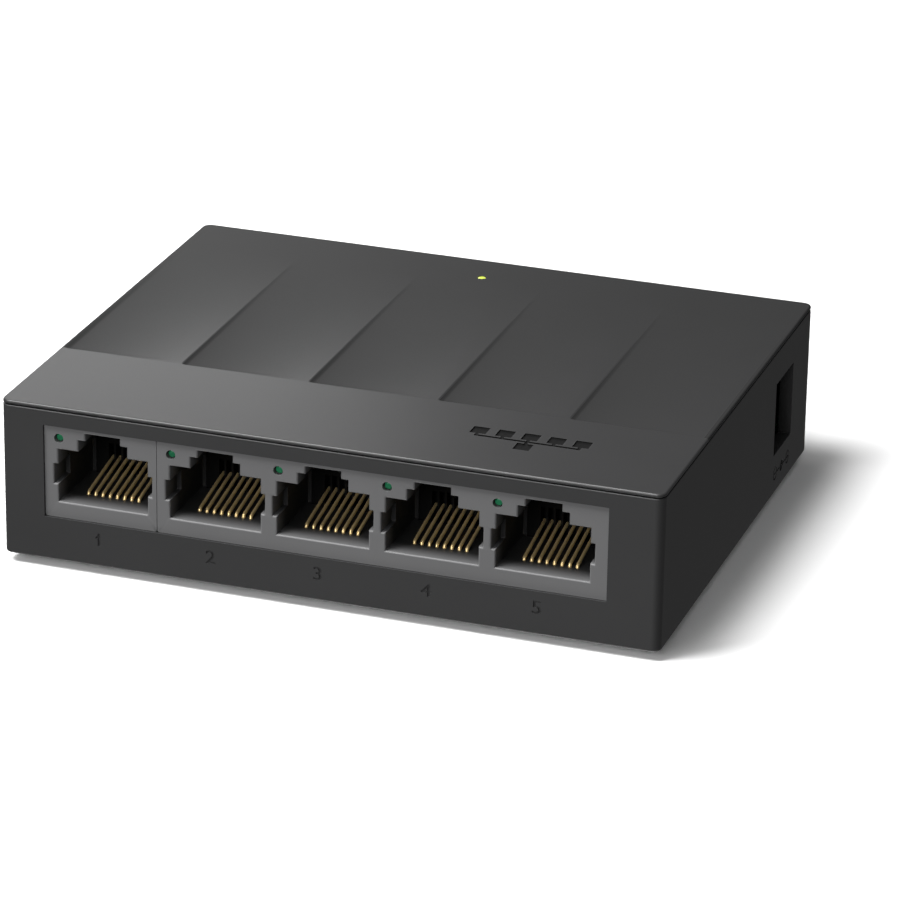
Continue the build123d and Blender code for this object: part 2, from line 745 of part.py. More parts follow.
with BuildPart() as inlet_body:
    with BuildSketch(Plane.YZ.offset(inlet_rear_x)):
        with Locations((inlet_y, board_top + inlet_height / 2)):
            Rectangle(inlet_width, inlet_height)
    extrude(amount=inlet_length)
    with BuildSketch(Plane.YZ.offset(inlet_face_x)):
        with Locations((inlet_y, inlet_axis_z)):
            Circle(inlet_bore_radius)
    extrude(amount=-inlet_bore_depth, mode=Mode.SUBTRACT)
    with BuildSketch(Plane.YZ.offset(inlet_rear_x)):
        with Locations((inlet_y, inlet_axis_z)):
            Circle(inlet_pin_radius)
    extrude(amount=inlet_length, mode=Mode.SUBTRACT)
    # Room for the leaf under the bore
    with BuildSketch(Plane.XY.offset(leaf_pivot_z - leaf_under_gap)):
        with Locations((leaf_room_x, inlet_y)):
            Rectangle(leaf_length + 2 * leaf_end_gap, leaf_width + 2 * leaf_side_gap)
    extrude(amount=inlet_axis_z - leaf_pivot_z + leaf_under_gap, mode=Mode.SUBTRACT)
inlet_body.part.label = "inlet_body"
export_step(inlet_body.part, "parts/inlet_body.step")

with BuildPart() as inlet_pin:
    with BuildSketch(Plane.YZ.offset(inlet_rear_x)):
        with Locations((inlet_y, inlet_axis_z)):
            Circle(inlet_pin_radius)
    extrude(amount=inlet_length - inlet_pin_setback)
    chamfer(inlet_pin.faces().sort_by(Axis.X)[-1].edges(), edge_chamfer)
inlet_pin.part.label = "inlet_pin"
export_step(inlet_pin.part, "parts/inlet_pin.step")

with BuildPart() as inlet_leaf:
    leaf_plane = Plane((leaf_pivot_x, inlet_y, leaf_pivot_z), x_dir=(1, 0, 0), z_dir=(0, 0, 1))
    with BuildSketch(leaf_plane.rotated((0, -leaf_slope, 0))):
        with Locations((leaf_length / 2, 0)):
            Rectangle(leaf_length, leaf_width)
    extrude(amount=leaf_thickness / 2, both=True)
inlet_leaf.part.label = "inlet_leaf"
export_step(inlet_leaf.part, "parts/inlet_leaf.step")

with BuildPart() as inlet_terminals:
    with BuildSketch(Plane.XY.offset(board_top)):
        with Locations(*terminal_places):
            Rectangle(terminal_thickness, terminal_width)
    extrude(amount=-terminal_length)
inlet_terminals.part.label = "inlet_terminals"
export_step(inlet_terminals.part, "parts/inlet_terminals.step")


# Parts soldered on the board, placed from the jacks rearwards

module_front_y = jack_rear_y + port_light_overhang + port_light_radius + module_gap / 2
module_y = module_front_y + module_length / 2
module_rear_y = module_front_y + module_length
chip_y = module_rear_y + chip_gap + chip_size / 2

for number, port_x in enumerate(ports_x, start=1):
    with BuildPart() as line_module:
        with BuildSketch(Plane.XY.offset(board_top)):
            with Locations((port_x, module_y)):
                Rectangle(module_width, module_length)
        extrude(amount=module_height)
        chamfer(line_module.faces().sort_by(Axis.Z)[-1].edges(), module_chamfer)
    line_module.part.label = f"port_{number}_line_module"
    export_step(line_module.part, f"parts/port_{number}_line_module.step")

with BuildPart() as switch_chip:
    with BuildSketch(Plane.XY.offset(board_top)):
        with Locations((chip_x, chip_y)):
            Rectangle(chip_size, chip_size)
    extrude(amount=chip_height)
    chamfer(switch_chip.faces().sort_by(Axis.Z)[-1].edges(), chip_chamfer)
switch_chip.part.label = "switch_chip"
export_step(switch_chip.part, "parts/switch_chip.step")

with BuildPart() as crystal:
    crystal_x = chip_x - chip_size / 2 - crystal_chip_gap - crystal_length / 2
    with BuildSketch(Plane.XY.offset(board_top)):
        with Locations((crystal_x, chip_y)):
            SlotOverall(crystal_length, crystal_width)
    extrude(amount=crystal_height)
crystal.part.label = "crystal"
export_step(crystal.part, "parts/crystal.step")

with BuildPart() as can_capacitors:
    with BuildSketch(Plane.XY.offset(board_top)):
        with Locations((can_x, module_rear_y + can_gap)):
            with GridLocations(can_pitch, 0, 2, 1):
                Circle(can_radius)
    extrude(amount=can_height)
    chamfer(can_capacitors.faces().group_by(Axis.Z)[-1].edges(), edge_chamfer)
can_capacitors.part.label = "can_capacitors"
export_step(can_capacitors.part, "parts/can_capacitors.step")

with BuildPart() as inductor:
    inductor_x = inlet_rear_x - inductor_inlet_gap - inductor_size / 2
    with BuildSketch(Plane.XY.offset(board_top)):
        with Locations((inductor_x, inlet_y)):
            RectangleRounded(inductor_size, inductor_size, corner_radius)
    extrude(amount=inductor_height)
inductor.part.label = "inductor"
export_step(inductor.part, "parts/inductor.step")

with BuildPart() as regulator:
    regulator_x = inductor_x - inductor_size / 2 - regulator_gap - regulator_width / 2
    with BuildSketch(Plane.XY.offset(board_top)):
        with Locations((regulator_x, inlet_y)):
            Rectangle(regulator_width, regulator_length)
    extrude(amount=regulator_height)
regulator.part.label = "regulator"
export_step(regulator.part, "parts/regulator.step")

small_part_rows = {
    "chip_capacitors": chip_y + chip_size / 2 + small_part_gap + small_part_length / 2,
    "chip_resistors": chip_y - chip_size / 2 - small_part_gap - small_part_length / 2,
}
for row_name, row_y in small_part_rows.items():
    with BuildPart() as small_parts:
        with BuildSketch(Plane.XY.offset(board_top)):
            with Locations((chip_x, row_y)):
                with GridLocations(small_part_pitch, 0, small_part_columns, 1):
                    Rectangle(small_part_width, small_part_length)
        extrude(amount=small_part_height)
    small_parts.part.label = row_name
    export_step(small_parts.part, f"parts/{row_name}.step")
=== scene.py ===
"""Desktop network switch: its looks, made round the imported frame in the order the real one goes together.

Metres, in the frame's own axes: X to the right along the ports, Y to the rear and Z up from the table.
"""
import json
from functools import partial
from math import cos, pi, radians, sin

import bmesh
import bpy
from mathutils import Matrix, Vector


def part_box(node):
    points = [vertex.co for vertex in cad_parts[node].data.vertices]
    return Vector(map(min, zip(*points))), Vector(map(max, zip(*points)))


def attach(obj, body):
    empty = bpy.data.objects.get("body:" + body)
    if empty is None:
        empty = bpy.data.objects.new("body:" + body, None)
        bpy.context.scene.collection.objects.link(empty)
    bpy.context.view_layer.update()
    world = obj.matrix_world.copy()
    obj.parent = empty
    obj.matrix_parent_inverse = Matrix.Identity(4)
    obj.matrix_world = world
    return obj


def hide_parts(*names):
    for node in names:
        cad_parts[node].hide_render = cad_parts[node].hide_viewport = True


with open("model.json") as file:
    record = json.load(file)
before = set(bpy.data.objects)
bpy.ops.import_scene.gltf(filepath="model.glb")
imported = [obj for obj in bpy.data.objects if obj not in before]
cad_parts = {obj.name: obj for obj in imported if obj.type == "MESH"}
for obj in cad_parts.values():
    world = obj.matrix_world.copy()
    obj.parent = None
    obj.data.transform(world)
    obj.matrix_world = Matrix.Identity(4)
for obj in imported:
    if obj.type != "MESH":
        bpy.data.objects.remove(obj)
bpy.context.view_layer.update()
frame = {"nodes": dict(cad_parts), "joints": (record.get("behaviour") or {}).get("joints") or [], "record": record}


# Tub: the lower half of the case, its floor and four walls moulded in one piece of satin dark grey ABS.
# The mould also gives it the windows for the jacks and the inlet, four screw standoffs, two wall-hanging
# keyholes, vents, recesses for the feet and the label, and the sunk port numbers.

mm = 0.001
case_wall = 1.8 * mm
case_corner = 1.2 * mm
pocket_corner = 0.4 * mm
rim_round = 0.3 * mm
wall_top_round = 0.1 * mm
moulded_round = 0.06 * mm
window_gap = 0.02 * mm
inlet_window_gap = 0.15 * mm
standoff_radius = 2.9 * mm
screw_hole_radius = 1.4 * mm
screw_head_radius = 2.1 * mm
screw_head_gap = 0.2 * mm
screw_head_height = 1.5 * mm
foot_gap = 0.15 * mm
label_gap = 0.2 * mm
keyhole_neck = 1.9 * mm
keyhole_reach = 5.0 * mm
vent_count = 8
vent_pitch = 3.4 * mm
vent_size = Vector((1.6, 16.0)) * mm
vent_y = 17.0 * mm
number_height = 1.7 * mm
number_scale = 1.52
number_z = 5.0 * mm
number_stretch = 1.15
number_shift = -0.5 * mm
mark_depth = 0.2 * mm
mark_step = 0.002 * mm
mark_stroke = 0.26 * mm
polarity_z = 4.25 * mm
polarity_ring = 0.85 * mm
polarity_pitch = 3.2 * mm
number_swell = 0.045 * mm
flag_reach = 0.38 * mm
edge_roughness = 0.2
wear_and_highlight_reach = 0.15 * mm
wear_and_highlight_strength = 2.5
worn_lightening = 1.35
case_dark = (0.025, 0.025, 0.0255)
case_light = (0.029, 0.029, 0.0295)


def only(piece):
    """Leaves one piece selected and active."""
    bpy.ops.object.select_all(action="DESELECT")
    piece.select_set(True)
    bpy.context.view_layer.objects.active = piece


def settle(piece):
    """Puts a piece's place and turn into its mesh, so that its object sits at the origin."""
    only(piece)
    bpy.ops.object.transform_apply(location=True, rotation=True, scale=True)
    return piece


def new_shape(name, add, **values):
    """One of Blender's own shapes, added and named."""
    bpy.ops.object.select_all(action="DESELECT")
    add(**values)
    bpy.context.object.name = name
    return bpy.context.object


def block(name, low, high):
    """A box between two corners."""
    low, high = Vector(low), Vector(high)
    piece = new_shape(name, bpy.ops.mesh.primitive_cube_add, size=1, location=(low + high) / 2)
    piece.scale = high - low
    return settle(piece)


def rod(name, radius, start, end, sides=48):
    """A round bar from one point to another."""
    start, end = Vector(start), Vector(end)
    run = end - start
    add = bpy.ops.mesh.primitive_cylinder_add
    piece = new_shape(name, add, vertices=sides, radius=radius, depth=run.length)
    piece.location = (start + end) / 2
    piece.rotation_mode = "QUATERNION"
    piece.rotation_quaternion = run.to_track_quat("Z", "Y")
    return settle(piece)


def pick_edges(piece, wanted):
    """Opens a piece for editing with only the edges whose two ends pass the test selected."""
    only(piece)
    bpy.ops.object.mode_set(mode="EDIT")
    bpy.ops.mesh.select_mode(type="EDGE")
    bpy.ops.mesh.select_all(action="DESELECT")
    shape = bmesh.from_edit_mesh(piece.data)
    for edge in shape.edges:
        edge.select_set(wanted(edge.verts[0].co, edge.verts[1].co))
    bmesh.update_edit_mesh(piece.data)


def pick_faces(piece, wanted):
    """Opens a piece for editing with only the faces whose middle and normal pass the test selected."""
    only(piece)
    bpy.ops.object.mode_set(mode="EDIT")
    bpy.ops.mesh.select_mode(type="FACE")
    bpy.ops.mesh.select_all(action="DESELECT")
    shape = bmesh.from_edit_mesh(piece.data)
    for face in shape.faces:
        face.select_set(wanted(face.calc_center_median(), face.normal))
    bmesh.update_edit_mesh(piece.data)


def close_editing():
    bpy.ops.object.mode_set(mode="OBJECT")


def near(a, b, by=0.01 * mm):
    return abs(a - b) < by


def round_picked(width, segments):
    """Rounds the picked edges over and closes the piece."""
    bpy.ops.mesh.bevel(offset=width, offset_type="OFFSET", segments=segments, profile=0.5, affect="EDGES")
    close_editing()


def round_level(piece, axis, level, width, segments):
    """Rounds the edges that lie at one level along an axis."""
    pick_edges(piece, lambda a, b: near(a[axis], level) and near(b[axis], level))
    round_picked(width, segments)


def turn_outwards(weld=True):
    """Turns the open piece's faces outwards, with its doubled corners welded first, and closes it."""
    bpy.ops.mesh.select_all(action="SELECT")
    if weld:
        bpy.ops.mesh.remove_doubles(threshold=0.001 * mm)
    bpy.ops.mesh.normals_make_consistent(inside=False)
    close_editing()


def round_uprights(piece, width, segments, axis=2):
    """Rounds the edges that run along one axis."""
    others = [i for i in range(3) if i != axis]
    pick_edges(piece, lambda a, b: all(near(a[i], b[i]) for i in others))
    round_picked(width, segments)


def slot_bar(name, start, end, width, low_z, high_z):
    """An upright plate with round ends, from one point in plan to another."""
    start, end = Vector((*start, 0)), Vector((*end, 0))
    run = end - start
    half = run.length / 2 + width / 2
    piece = block(name, (-half, -width / 2, low_z), (half, width / 2, high_z))
    round_uprights(piece, width * 0.499, 6)
    piece.rotation_euler.z = Vector((1, 0)).angle_signed(run.xy) * -1
    piece.location = (start + end) / 2
    return settle(piece)


def use_boolean(piece, tool, operation, materials="INDEX"):
    only(piece)
    step = piece.modifiers.new(operation.lower(), "BOOLEAN")
    step.operation = operation
    step.object = tool
    step.solver = "EXACT"
    step.material_mode = materials
    bpy.ops.object.modifier_apply(modifier=step.name)
    bpy.data.objects.remove(tool)


def cut(piece, *tools):
    """Cuts each tool's shape out of the piece."""
    for tool in tools:
        use_boolean(piece, tool, "DIFFERENCE")


def add_on(piece, *tools):
    """Makes each tool's shape part of the piece."""
    for tool in tools:
        use_boolean(piece, tool, "UNION")


def join(*pieces):
    """One object of several, each still its own closed shape."""
    only(pieces[0])
    for piece in pieces:
        piece.select_set(True)
    bpy.ops.object.join()
    return pieces[0]


def round_all(piece, width, segments=2, angle=35):
    """Rounds every edge sharper than the angle."""
    only(piece)
    step = piece.modifiers.new("rounding", "BEVEL")
    step.width = width
    step.segments = segments
    step.limit_method = "ANGLE"
    step.angle_limit = radians(angle)
    step.use_clamp_overlap = True
    step.miter_outer = "MITER_ARC"
    bpy.ops.object.modifier_apply(modifier=step.name)


def finish_shading(piece, angle=35):
    """Smooth round faces and crisp flats, as a polished mould gives them."""
    only(piece)
    bpy.ops.object.shade_smooth_by_angle(angle=radians(angle))
    step = piece.modifiers.new("flats", "WEIGHTED_NORMAL")
    step.keep_sharp = True
    step.mode = "FACE_AREA"
    step.weight = 100
    bpy.ops.object.modifier_apply(modifier=step.name)


def new_effect(name, inputs, outputs):
    """An empty node group with its sockets: name and default for an input, name and kind for an output."""
    group = bpy.data.node_groups.new(name, "ShaderNodeTree")
    for socket_name, value in inputs:
        socket = group.interface.new_socket(name=socket_name, in_out="INPUT", socket_type="NodeSocketFloat")
        socket.default_value = value
    for socket_name, kind in outputs:
        group.interface.new_socket(name=socket_name, in_out="OUTPUT", socket_type=kind)
    return group, group.nodes.new("NodeGroupInput"), group.nodes.new("NodeGroupOutput")


def number_node(nodes, link, operation, first, second, clamp=False):
    """One sum on two numbers or sockets."""
    node = nodes.new("ShaderNodeMath")
    node.operation = operation
    node.use_clamp = clamp
    for socket, value in zip(node.inputs, (first, second)):
        if isinstance(value, (int, float)):
            socket.default_value = value
        else:
            link(value, socket)
    return node.outputs["Value"]


def mould_texture_effect():
    """Fine spark-eroded grain and the slow drift in shade that moulded plastic has."""
    group, given, out = new_effect(
        "mould_texture",
        [("Grains per metre", 6000), ("Grain depth", 0.00001), ("Drift per metre", 90)],
        [("Normal", "NodeSocketVector"), ("Shade", "NodeSocketFloat"), ("Grain", "NodeSocketFloat")],
    )
    place = group.nodes.new("ShaderNodeTexCoord")
    grain = group.nodes.new("ShaderNodeTexNoise")
    grain.inputs["Detail"].default_value = 3
    grain.inputs["Roughness"].default_value = 0.6
    drift = group.nodes.new("ShaderNodeTexNoise")
    drift.inputs["Detail"].default_value = 2
    raised = group.nodes.new("ShaderNodeBump")
    link = group.links.new
    link(place.outputs["Object"], grain.inputs["Vector"])
    link(place.outputs["Object"], drift.inputs["Vector"])
    link(given.outputs["Grains per metre"], grain.inputs["Scale"])
    link(given.outputs["Drift per metre"], drift.inputs["Scale"])
    link(given.outputs["Grain depth"], raised.inputs["Distance"])
    link(grain.outputs["Fac"], raised.inputs["Height"])
    link(raised.outputs["Normal"], out.inputs["Normal"])
    link(drift.outputs["Fac"], out.inputs["Shade"])
    link(grain.outputs["Fac"], out.inputs["Grain"])
    return group


def edge_wear_effect():
    """A mask along the edges, where handling and the mould's own polish leave the texture smoother. Parts lighten
    their colour under it: as wear on most, as painted highlight on the cover.
    """
    group, given, out = new_effect(
        "edge_wear", [("Reach", 0.0002), ("Strength", 1.0)], [("Mask", "NodeSocketFloat")]
    )
    rounded = group.nodes.new("ShaderNodeBevel")
    rounded.samples = 4
    true_face = group.nodes.new("ShaderNodeNewGeometry")
    likeness = group.nodes.new("ShaderNodeVectorMath")
    likeness.operation = "DOT_PRODUCT"
    link = group.links.new
    link(given.outputs["Reach"], rounded.inputs["Radius"])
    link(rounded.outputs["Normal"], likeness.inputs[0])
    link(true_face.outputs["Normal"], likeness.inputs[1])
    turned = number_node(group.nodes, link, "SUBTRACT", 1, likeness.outputs["Value"])
    mask = number_node(group.nodes, link, "MULTIPLY", turned, given.outputs["Strength"], clamp=True)
    link(mask, out.inputs["Mask"])
    return group


mould_texture = mould_texture_effect()
edge_wear = edge_wear_effect()


def add_effect(nodes, group, **values):
    """One effect in a material, with its own values: underscores in a value's name stand for spaces."""
    node = nodes.new("ShaderNodeGroup")
    node.node_tree = group
    for name, value in values.items():
        node.inputs[name.replace("_", " ")].default_value = value
    return node


def start_material(name):
    """A new material's nodes, its link call and its Principled shader."""
    material = bpy.data.materials.new(name)
    material.use_nodes = True
    tree = material.node_tree
    return material, tree.nodes, tree.links.new, tree.nodes["Principled BSDF"]


def shade_between(nodes, link, factor, first, second):
    """A colour that moves between two others, each three numbers or an output, as the factor does."""
    mixed = nodes.new("ShaderNodeMix")
    mixed.data_type = "RGBA"
    for name, colour in (("A", first), ("B", second)):
        if isinstance(colour, bpy.types.NodeSocket):
            link(colour, mixed.inputs[name])
        else:
            mixed.inputs[name].default_value = (*colour, 1)
    link(factor, mixed.inputs["Factor"])
    return mixed.outputs["Result"]


def value_between(nodes, link, factor, low, high):
    """A number that moves between two others as the factor goes from 0 to 1."""
    ranged = nodes.new("ShaderNodeMapRange")
    ranged.inputs["To Min"].default_value = low
    ranged.inputs["To Max"].default_value = high
    link(factor, ranged.inputs["Value"])
    return ranged.outputs["Result"]


def smoother_at_edges(nodes, link, wear_and_highlight, roughness):
    """The roughness given, brought down to a polish where the edges are worn."""
    polished = nodes.new("ShaderNodeMix")
    polished.inputs["B"].default_value = edge_roughness
    link(roughness, polished.inputs["A"])
    link(wear_and_highlight.outputs["Mask"], polished.inputs["Factor"])
    return polished.outputs["Result"]


def moulded_plastic(name, dark, light, roughness, grains=6000, grain_depth=0.004 * mm, gloss=0.5):
    """Moulded plastic: slight drift in shade, fine grain, and edges a little lighter and smoother."""
    material, nodes, link, shader = start_material(name)
    texture = add_effect(nodes, mould_texture, Grains_per_metre=grains, Grain_depth=grain_depth)
    wear_and_highlight = add_effect(nodes, edge_wear, Reach=wear_and_highlight_reach, Strength=wear_and_highlight_strength)
    body = shade_between(nodes, link, texture.outputs["Shade"], dark, light)
    worn = [worn_lightening * c for c in light]
    link(shade_between(nodes, link, wear_and_highlight.outputs["Mask"], body, worn), shader.inputs["Base Color"])
    grainy = value_between(nodes, link, texture.outputs["Grain"], roughness - 0.05, roughness + 0.05)
    link(smoother_at_edges(nodes, link, wear_and_highlight, grainy), shader.inputs["Roughness"])
    shader.inputs["Specular IOR Level"].default_value = gloss
    link(texture.outputs["Normal"], shader.inputs["Normal"])
    return material


def dress(piece, material, node, body="switch_case"):
    """Gives a piece its material and the body that it rides on, and hides the node that it stands for."""
    if not piece.data.materials:
        piece.data.materials.append(material)
    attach(piece, body)
    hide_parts(node)


case_plastic = moulded_plastic("case_plastic", case_dark, case_light, 0.44)

tub_low, tub_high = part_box("base")
board_low, board_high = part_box("main_board")
jacks_low, jacks_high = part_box("jack_housing_single")[0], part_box("jack_housing_gang")[1]
inlet_low, inlet_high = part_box("inlet_body")
screws_low, screws_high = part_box("case_screws")
screw_places = [
    (x, y)
    for x in (screws_low.x + screw_head_radius, screws_high.x - screw_head_radius)
    for y in (screws_low.y + screw_head_radius, screws_high.y - screw_head_radius)
]
screw_seat_z = screws_low.z + screw_head_height
ports = [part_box(f"port_{number}_contacts") for number in range(1, 6)]
ports_x = [(low.x + high.x) / 2 for low, high in ports]
inlet_y = (inlet_low.y + inlet_high.y) / 2
foot_names = ("front_left_foot", "front_right_foot", "rear_left_foot", "rear_right_foot")
keyholes = next(m for m in frame["record"]["mounts"] if m["name"] == "wall_keyholes")
keyhole_head = keyholes["dims"]["hole_r_mm"] * mm
keyhole_half = keyholes["dims"]["spacing_x_mm"] * mm / 2
keyhole_y = keyholes["pos_m"][1]
floor_top = tub_low.z + case_wall

tub = block("tub", tub_low, tub_high)
round_uprights(tub, case_corner, 6)
round_level(tub, 2, tub_low.z, rim_round, 3)
round_level(tub, 2, tub_high.z, wall_top_round, 3)
pocket = block(
    "pocket",
    (tub_low.x + case_wall, tub_low.y + case_wall, floor_top),
    (tub_high.x - case_wall, tub_high.y - case_wall, tub_high.z + case_wall),
)
round_uprights(pocket, pocket_corner, 3)
cut(tub, pocket)
for x, y in screw_places:
    add_on(tub, rod("standoff", standoff_radius, (x, y, floor_top - mm), (x, y, board_low.z)))
for x, y in screw_places:
    cut(tub, rod("screw_hole", screw_hole_radius, (x, y, tub_low.z - mm), (x, y, board_low.z + mm), 32))
    counterbore = screw_head_radius + screw_head_gap
    cut(tub, rod("counterbore", counterbore, (x, y, tub_low.z - mm), (x, y, screw_seat_z), 48))
cut(
    tub,
    block(
        "jack_window",
        (jacks_low.x - window_gap, tub_low.y - mm, board_high.z - window_gap),
        (jacks_high.x + window_gap, tub_low.y + case_wall + mm / 2, jacks_high.z + window_gap),
    ),
    block(
        "inlet_window",
        (tub_high.x - case_wall - mm / 2, inlet_low.y - inlet_window_gap, board_high.z - inlet_window_gap),
        (tub_high.x + mm, inlet_high.y + inlet_window_gap, inlet_high.z + inlet_window_gap),
    ),
)
for name in foot_names:
    foot_low, foot_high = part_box(name)
    middle = (foot_low + foot_high) / 2
    recess_radius = (foot_high.x - foot_low.x) / 2 + foot_gap
    cut(tub, rod("foot_recess", recess_radius, (*middle.xy, tub_low.z - mm), (*middle.xy, foot_high.z), 64))
label_low, label_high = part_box("rating_label")
label_recess = block(
    "label_recess",
    (label_low.x - label_gap, label_low.y - label_gap, tub_low.z - mm),
    (label_high.x + label_gap, label_high.y + label_gap, label_high.z),
)
round_uprights(label_recess, case_corner, 5)
cut(tub, label_recess)
for side in (-1, 1):
    x = side * keyhole_half
    through = (tub_low.z - mm, floor_top + mm)
    cut(tub, rod("keyhole", keyhole_head, (x, keyhole_y, through[0]), (x, keyhole_y, through[1])))
    neck_end = (x, keyhole_y + keyhole_reach)
    cut(tub, slot_bar("keyhole_neck", (x, keyhole_y), neck_end, 2 * keyhole_neck, *through))
for i in range(vent_count):
    x = (i - (vent_count - 1) / 2) * vent_pitch
    reach = (vent_size.y - vent_size.x) / 2
    cut(tub, slot_bar("vent", (x, vent_y - reach), (x, vent_y + reach), vent_size.x, *through))
round_all(tub, moulded_round)


def raised_text(name, text, height, depth, place, turn):
    """A numeral as a solid, in Blender's own face, standing to both sides of a face of the case."""
    piece = new_shape(name, bpy.ops.object.text_add)
    piece.data.body = text
    piece.data.align_x = "CENTER"
    piece.data.align_y = "CENTER"
    piece.data.size = height * number_scale
    piece.data.extrude = depth
    piece.data.resolution_u = 4
    bpy.ops.object.convert(target="MESH")
    piece = bpy.context.object
    bpy.ops.object.mode_set(mode="EDIT")
    turn_outwards()
    piece.location = place
    piece.rotation_euler = turn
    piece.scale.x = number_stretch
    return settle(piece)


for number, port_x in enumerate(ports_x, start=1):
    for side in (-1, 1):
        place = (port_x + number_shift + side * number_swell, tub_low.y, number_z)
        depth = mark_depth + side * mark_step
        cut(tub, raised_text("numeral", str(number), number_height, depth, place, (pi / 2, 0, 0)))
one_top = number_height / 2 - mark_stroke / 2
flag_end = (-flag_reach, one_top - flag_reach)
one_flag = slot_bar("one_flag", (0, one_top), flag_end, mark_stroke, -mark_depth, mark_depth)
one_flag.rotation_euler = (pi / 2, 0, 0)
one_flag.location = (ports_x[0] + number_shift, tub_low.y, number_z)
cut(tub, settle(one_flag))


def flat_mark(bars, stroke, depth, discs=(), rings=(), squares=()):
    """A sign of bars, discs, rings and squares. No two are quite as deep, so that they join cleanly."""
    shapes = []
    for start, end in bars:
        depth -= mark_step
        shapes.append(slot_bar("bar", start, end, stroke, -depth, depth))
    for (x, y), half in squares:
        depth -= mark_step
        shapes.append(block("square", (x - half, y - half, -depth), (x + half, y + half, depth)))
    for middle, radius in discs:
        depth -= mark_step
        shapes.append(rod("disc", radius, (*middle, -depth), (*middle, depth), 32))
    for middle, radius in rings:
        depth -= mark_step
        ring = rod("ring", radius + stroke / 2, (*middle, -depth), (*middle, depth), 32)
        cut(ring, rod("ring_bore", radius - stroke / 2, (*middle, -2 * depth), (*middle, 2 * depth), 32))
        shapes.append(ring)
    sign = shapes[0]
    add_on(sign, *shapes[1:])
    return sign


signs_x = (-polarity_pitch, polarity_pitch)
ring_bars = [((s * polarity_ring, 0), (s * (polarity_pitch - polarity_ring), 0)) for s in (-1, 1)]
minus_and_plus = [((x - polarity_ring / 2, 0), (x + polarity_ring / 2, 0)) for x in signs_x]
plus_upright = [((polarity_pitch, -polarity_ring / 2), (polarity_pitch, polarity_ring / 2))]
polarity_sign = flat_mark(
    ring_bars + minus_and_plus + plus_upright,
    mark_stroke,
    mark_depth,
    discs=[((0, 0), polarity_ring)],
    rings=[((x, 0), polarity_ring) for x in signs_x],
)
polarity_sign.rotation_euler = (pi / 2, 0, pi / 2)
polarity_sign.location = (tub_high.x, inlet_y, polarity_z)
cut(tub, settle(polarity_sign))
finish_shading(tub)
dress(tub, case_plastic, "base")


# Feet: four round pads of soft black rubber, stuck into recesses under the floor. Each is moulded with
# a rounded tread and a shallow dimple in the middle.

foot_round = 0.18 * mm
tread_ring = 1.1 * mm
tread_dimple = 0.25 * mm

foot_rubber = moulded_plastic("foot_rubber", (0.012, 0.012, 0.012), (0.02, 0.02, 0.02), 0.8, 3500, 0.012 * mm)
for name in foot_names:
    foot_low, foot_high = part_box(name)
    middle = (foot_low + foot_high) / 2
    radius = (foot_high.x - foot_low.x) / 2
    foot = rod(f"{name}_pad", radius, (*middle.xy, foot_low.z), (*middle.xy, foot_high.z), 64)
    pick_faces(foot, lambda place, normal: normal.z < -0.9)
    bpy.ops.mesh.inset(thickness=tread_ring)
    bpy.ops.mesh.inset(thickness=tread_dimple, depth=-tread_dimple)
    close_editing()
    round_all(foot, foot_round, 3, 30)
    finish_shading(foot)
    dress(foot, foot_rubber, name)


# Label: a plain silver film with rounded corners, stuck in its shallow recess under the floor.
# It carries no print, only a fine pressed line round its edge.

frame_inset = 0.5 * mm
frame_line = 0.2 * mm
frame_press = 0.02 * mm

label = block("silver_label", label_low, label_high)
round_uprights(label, case_corner, 6)
pick_faces(label, lambda place, normal: normal.z < -0.9)
bpy.ops.mesh.inset(thickness=frame_inset)
for press in (-frame_press, frame_press):
    bpy.ops.mesh.inset(thickness=frame_line, depth=press)
close_editing()


def fine_finish(name, dark, light, roughness, grains, grain_depth, drift=90, metal=0.0):
    """Metal, film or clear plastic: a drifting shade, and fine grain between two roughnesses."""
    material, nodes, link, shader = start_material(name)
    values = {"Grains_per_metre": grains, "Grain_depth": grain_depth, "Drift_per_metre": drift}
    texture = add_effect(nodes, mould_texture, **values)
    link(shade_between(nodes, link, texture.outputs["Shade"], dark, light), shader.inputs["Base Color"])
    link(value_between(nodes, link, texture.outputs["Grain"], *roughness), shader.inputs["Roughness"])
    link(texture.outputs["Normal"], shader.inputs["Normal"])
    shader.inputs["Metallic"].default_value = metal
    return material


film_shades = (0.40, 0.405, 0.41), (0.48, 0.485, 0.49)
label_film = fine_finish("label_film", *film_shades, (0.45, 0.6), 2500, 0.001 * mm, metal=0.3)
dress(label, label_film, "rating_label")


# Jack housings: one single and one gang of four, moulded in lighter grey glass-filled polyester.
# Each port is a plug cavity with a stepped notch for the plug's latch, slots in both side walls, a slit
# in the floor for each contact and a hole for the light pipe. Pegs locate them on the board.

mouth_half = 6.25 * mm
mouth_floor_z = board_high.z + 2.25 * mm
shoulder_z = mouth_floor_z + 7.35 * mm
latch_half = 3.4 * mm
latch_top_z = shoulder_z + 1.6 * mm
tongue_half = 2.4 * mm
tongue_top_z = latch_top_z + 1.05 * mm
mouth_depth = 11.5 * mm
side_slot_half = 6.85 * mm
side_slot_low = mouth_floor_z + 2.5 * mm
side_slot_high = side_slot_low + 2.75 * mm
side_slot_depth = 4.0 * mm
mouth_round = 0.25 * mm
jack_round = 0.06 * mm
# Where the painted shade in the plug cavities starts, where it is full, how strong it is and its colour.
painted_shade_from = 0.25 * mm
painted_shade_by = 3.2 * mm
painted_shade_most = 0.93
cavity_shade_colour = (0.006, 0.006, 0.006)
wire_count = 8
wire_pitch = 1.016 * mm
slit_width = 0.6 * mm
slit_front = 0.07 * mm
slit_rear = 0.7 * mm
light_shift = -6.1 * mm
light_drop = 1.7 * mm
light_hole = 0.66 * mm
carrier_gap = 0.05 * mm
peg_radius = 1.5 * mm
peg_from_face = 10.0 * mm

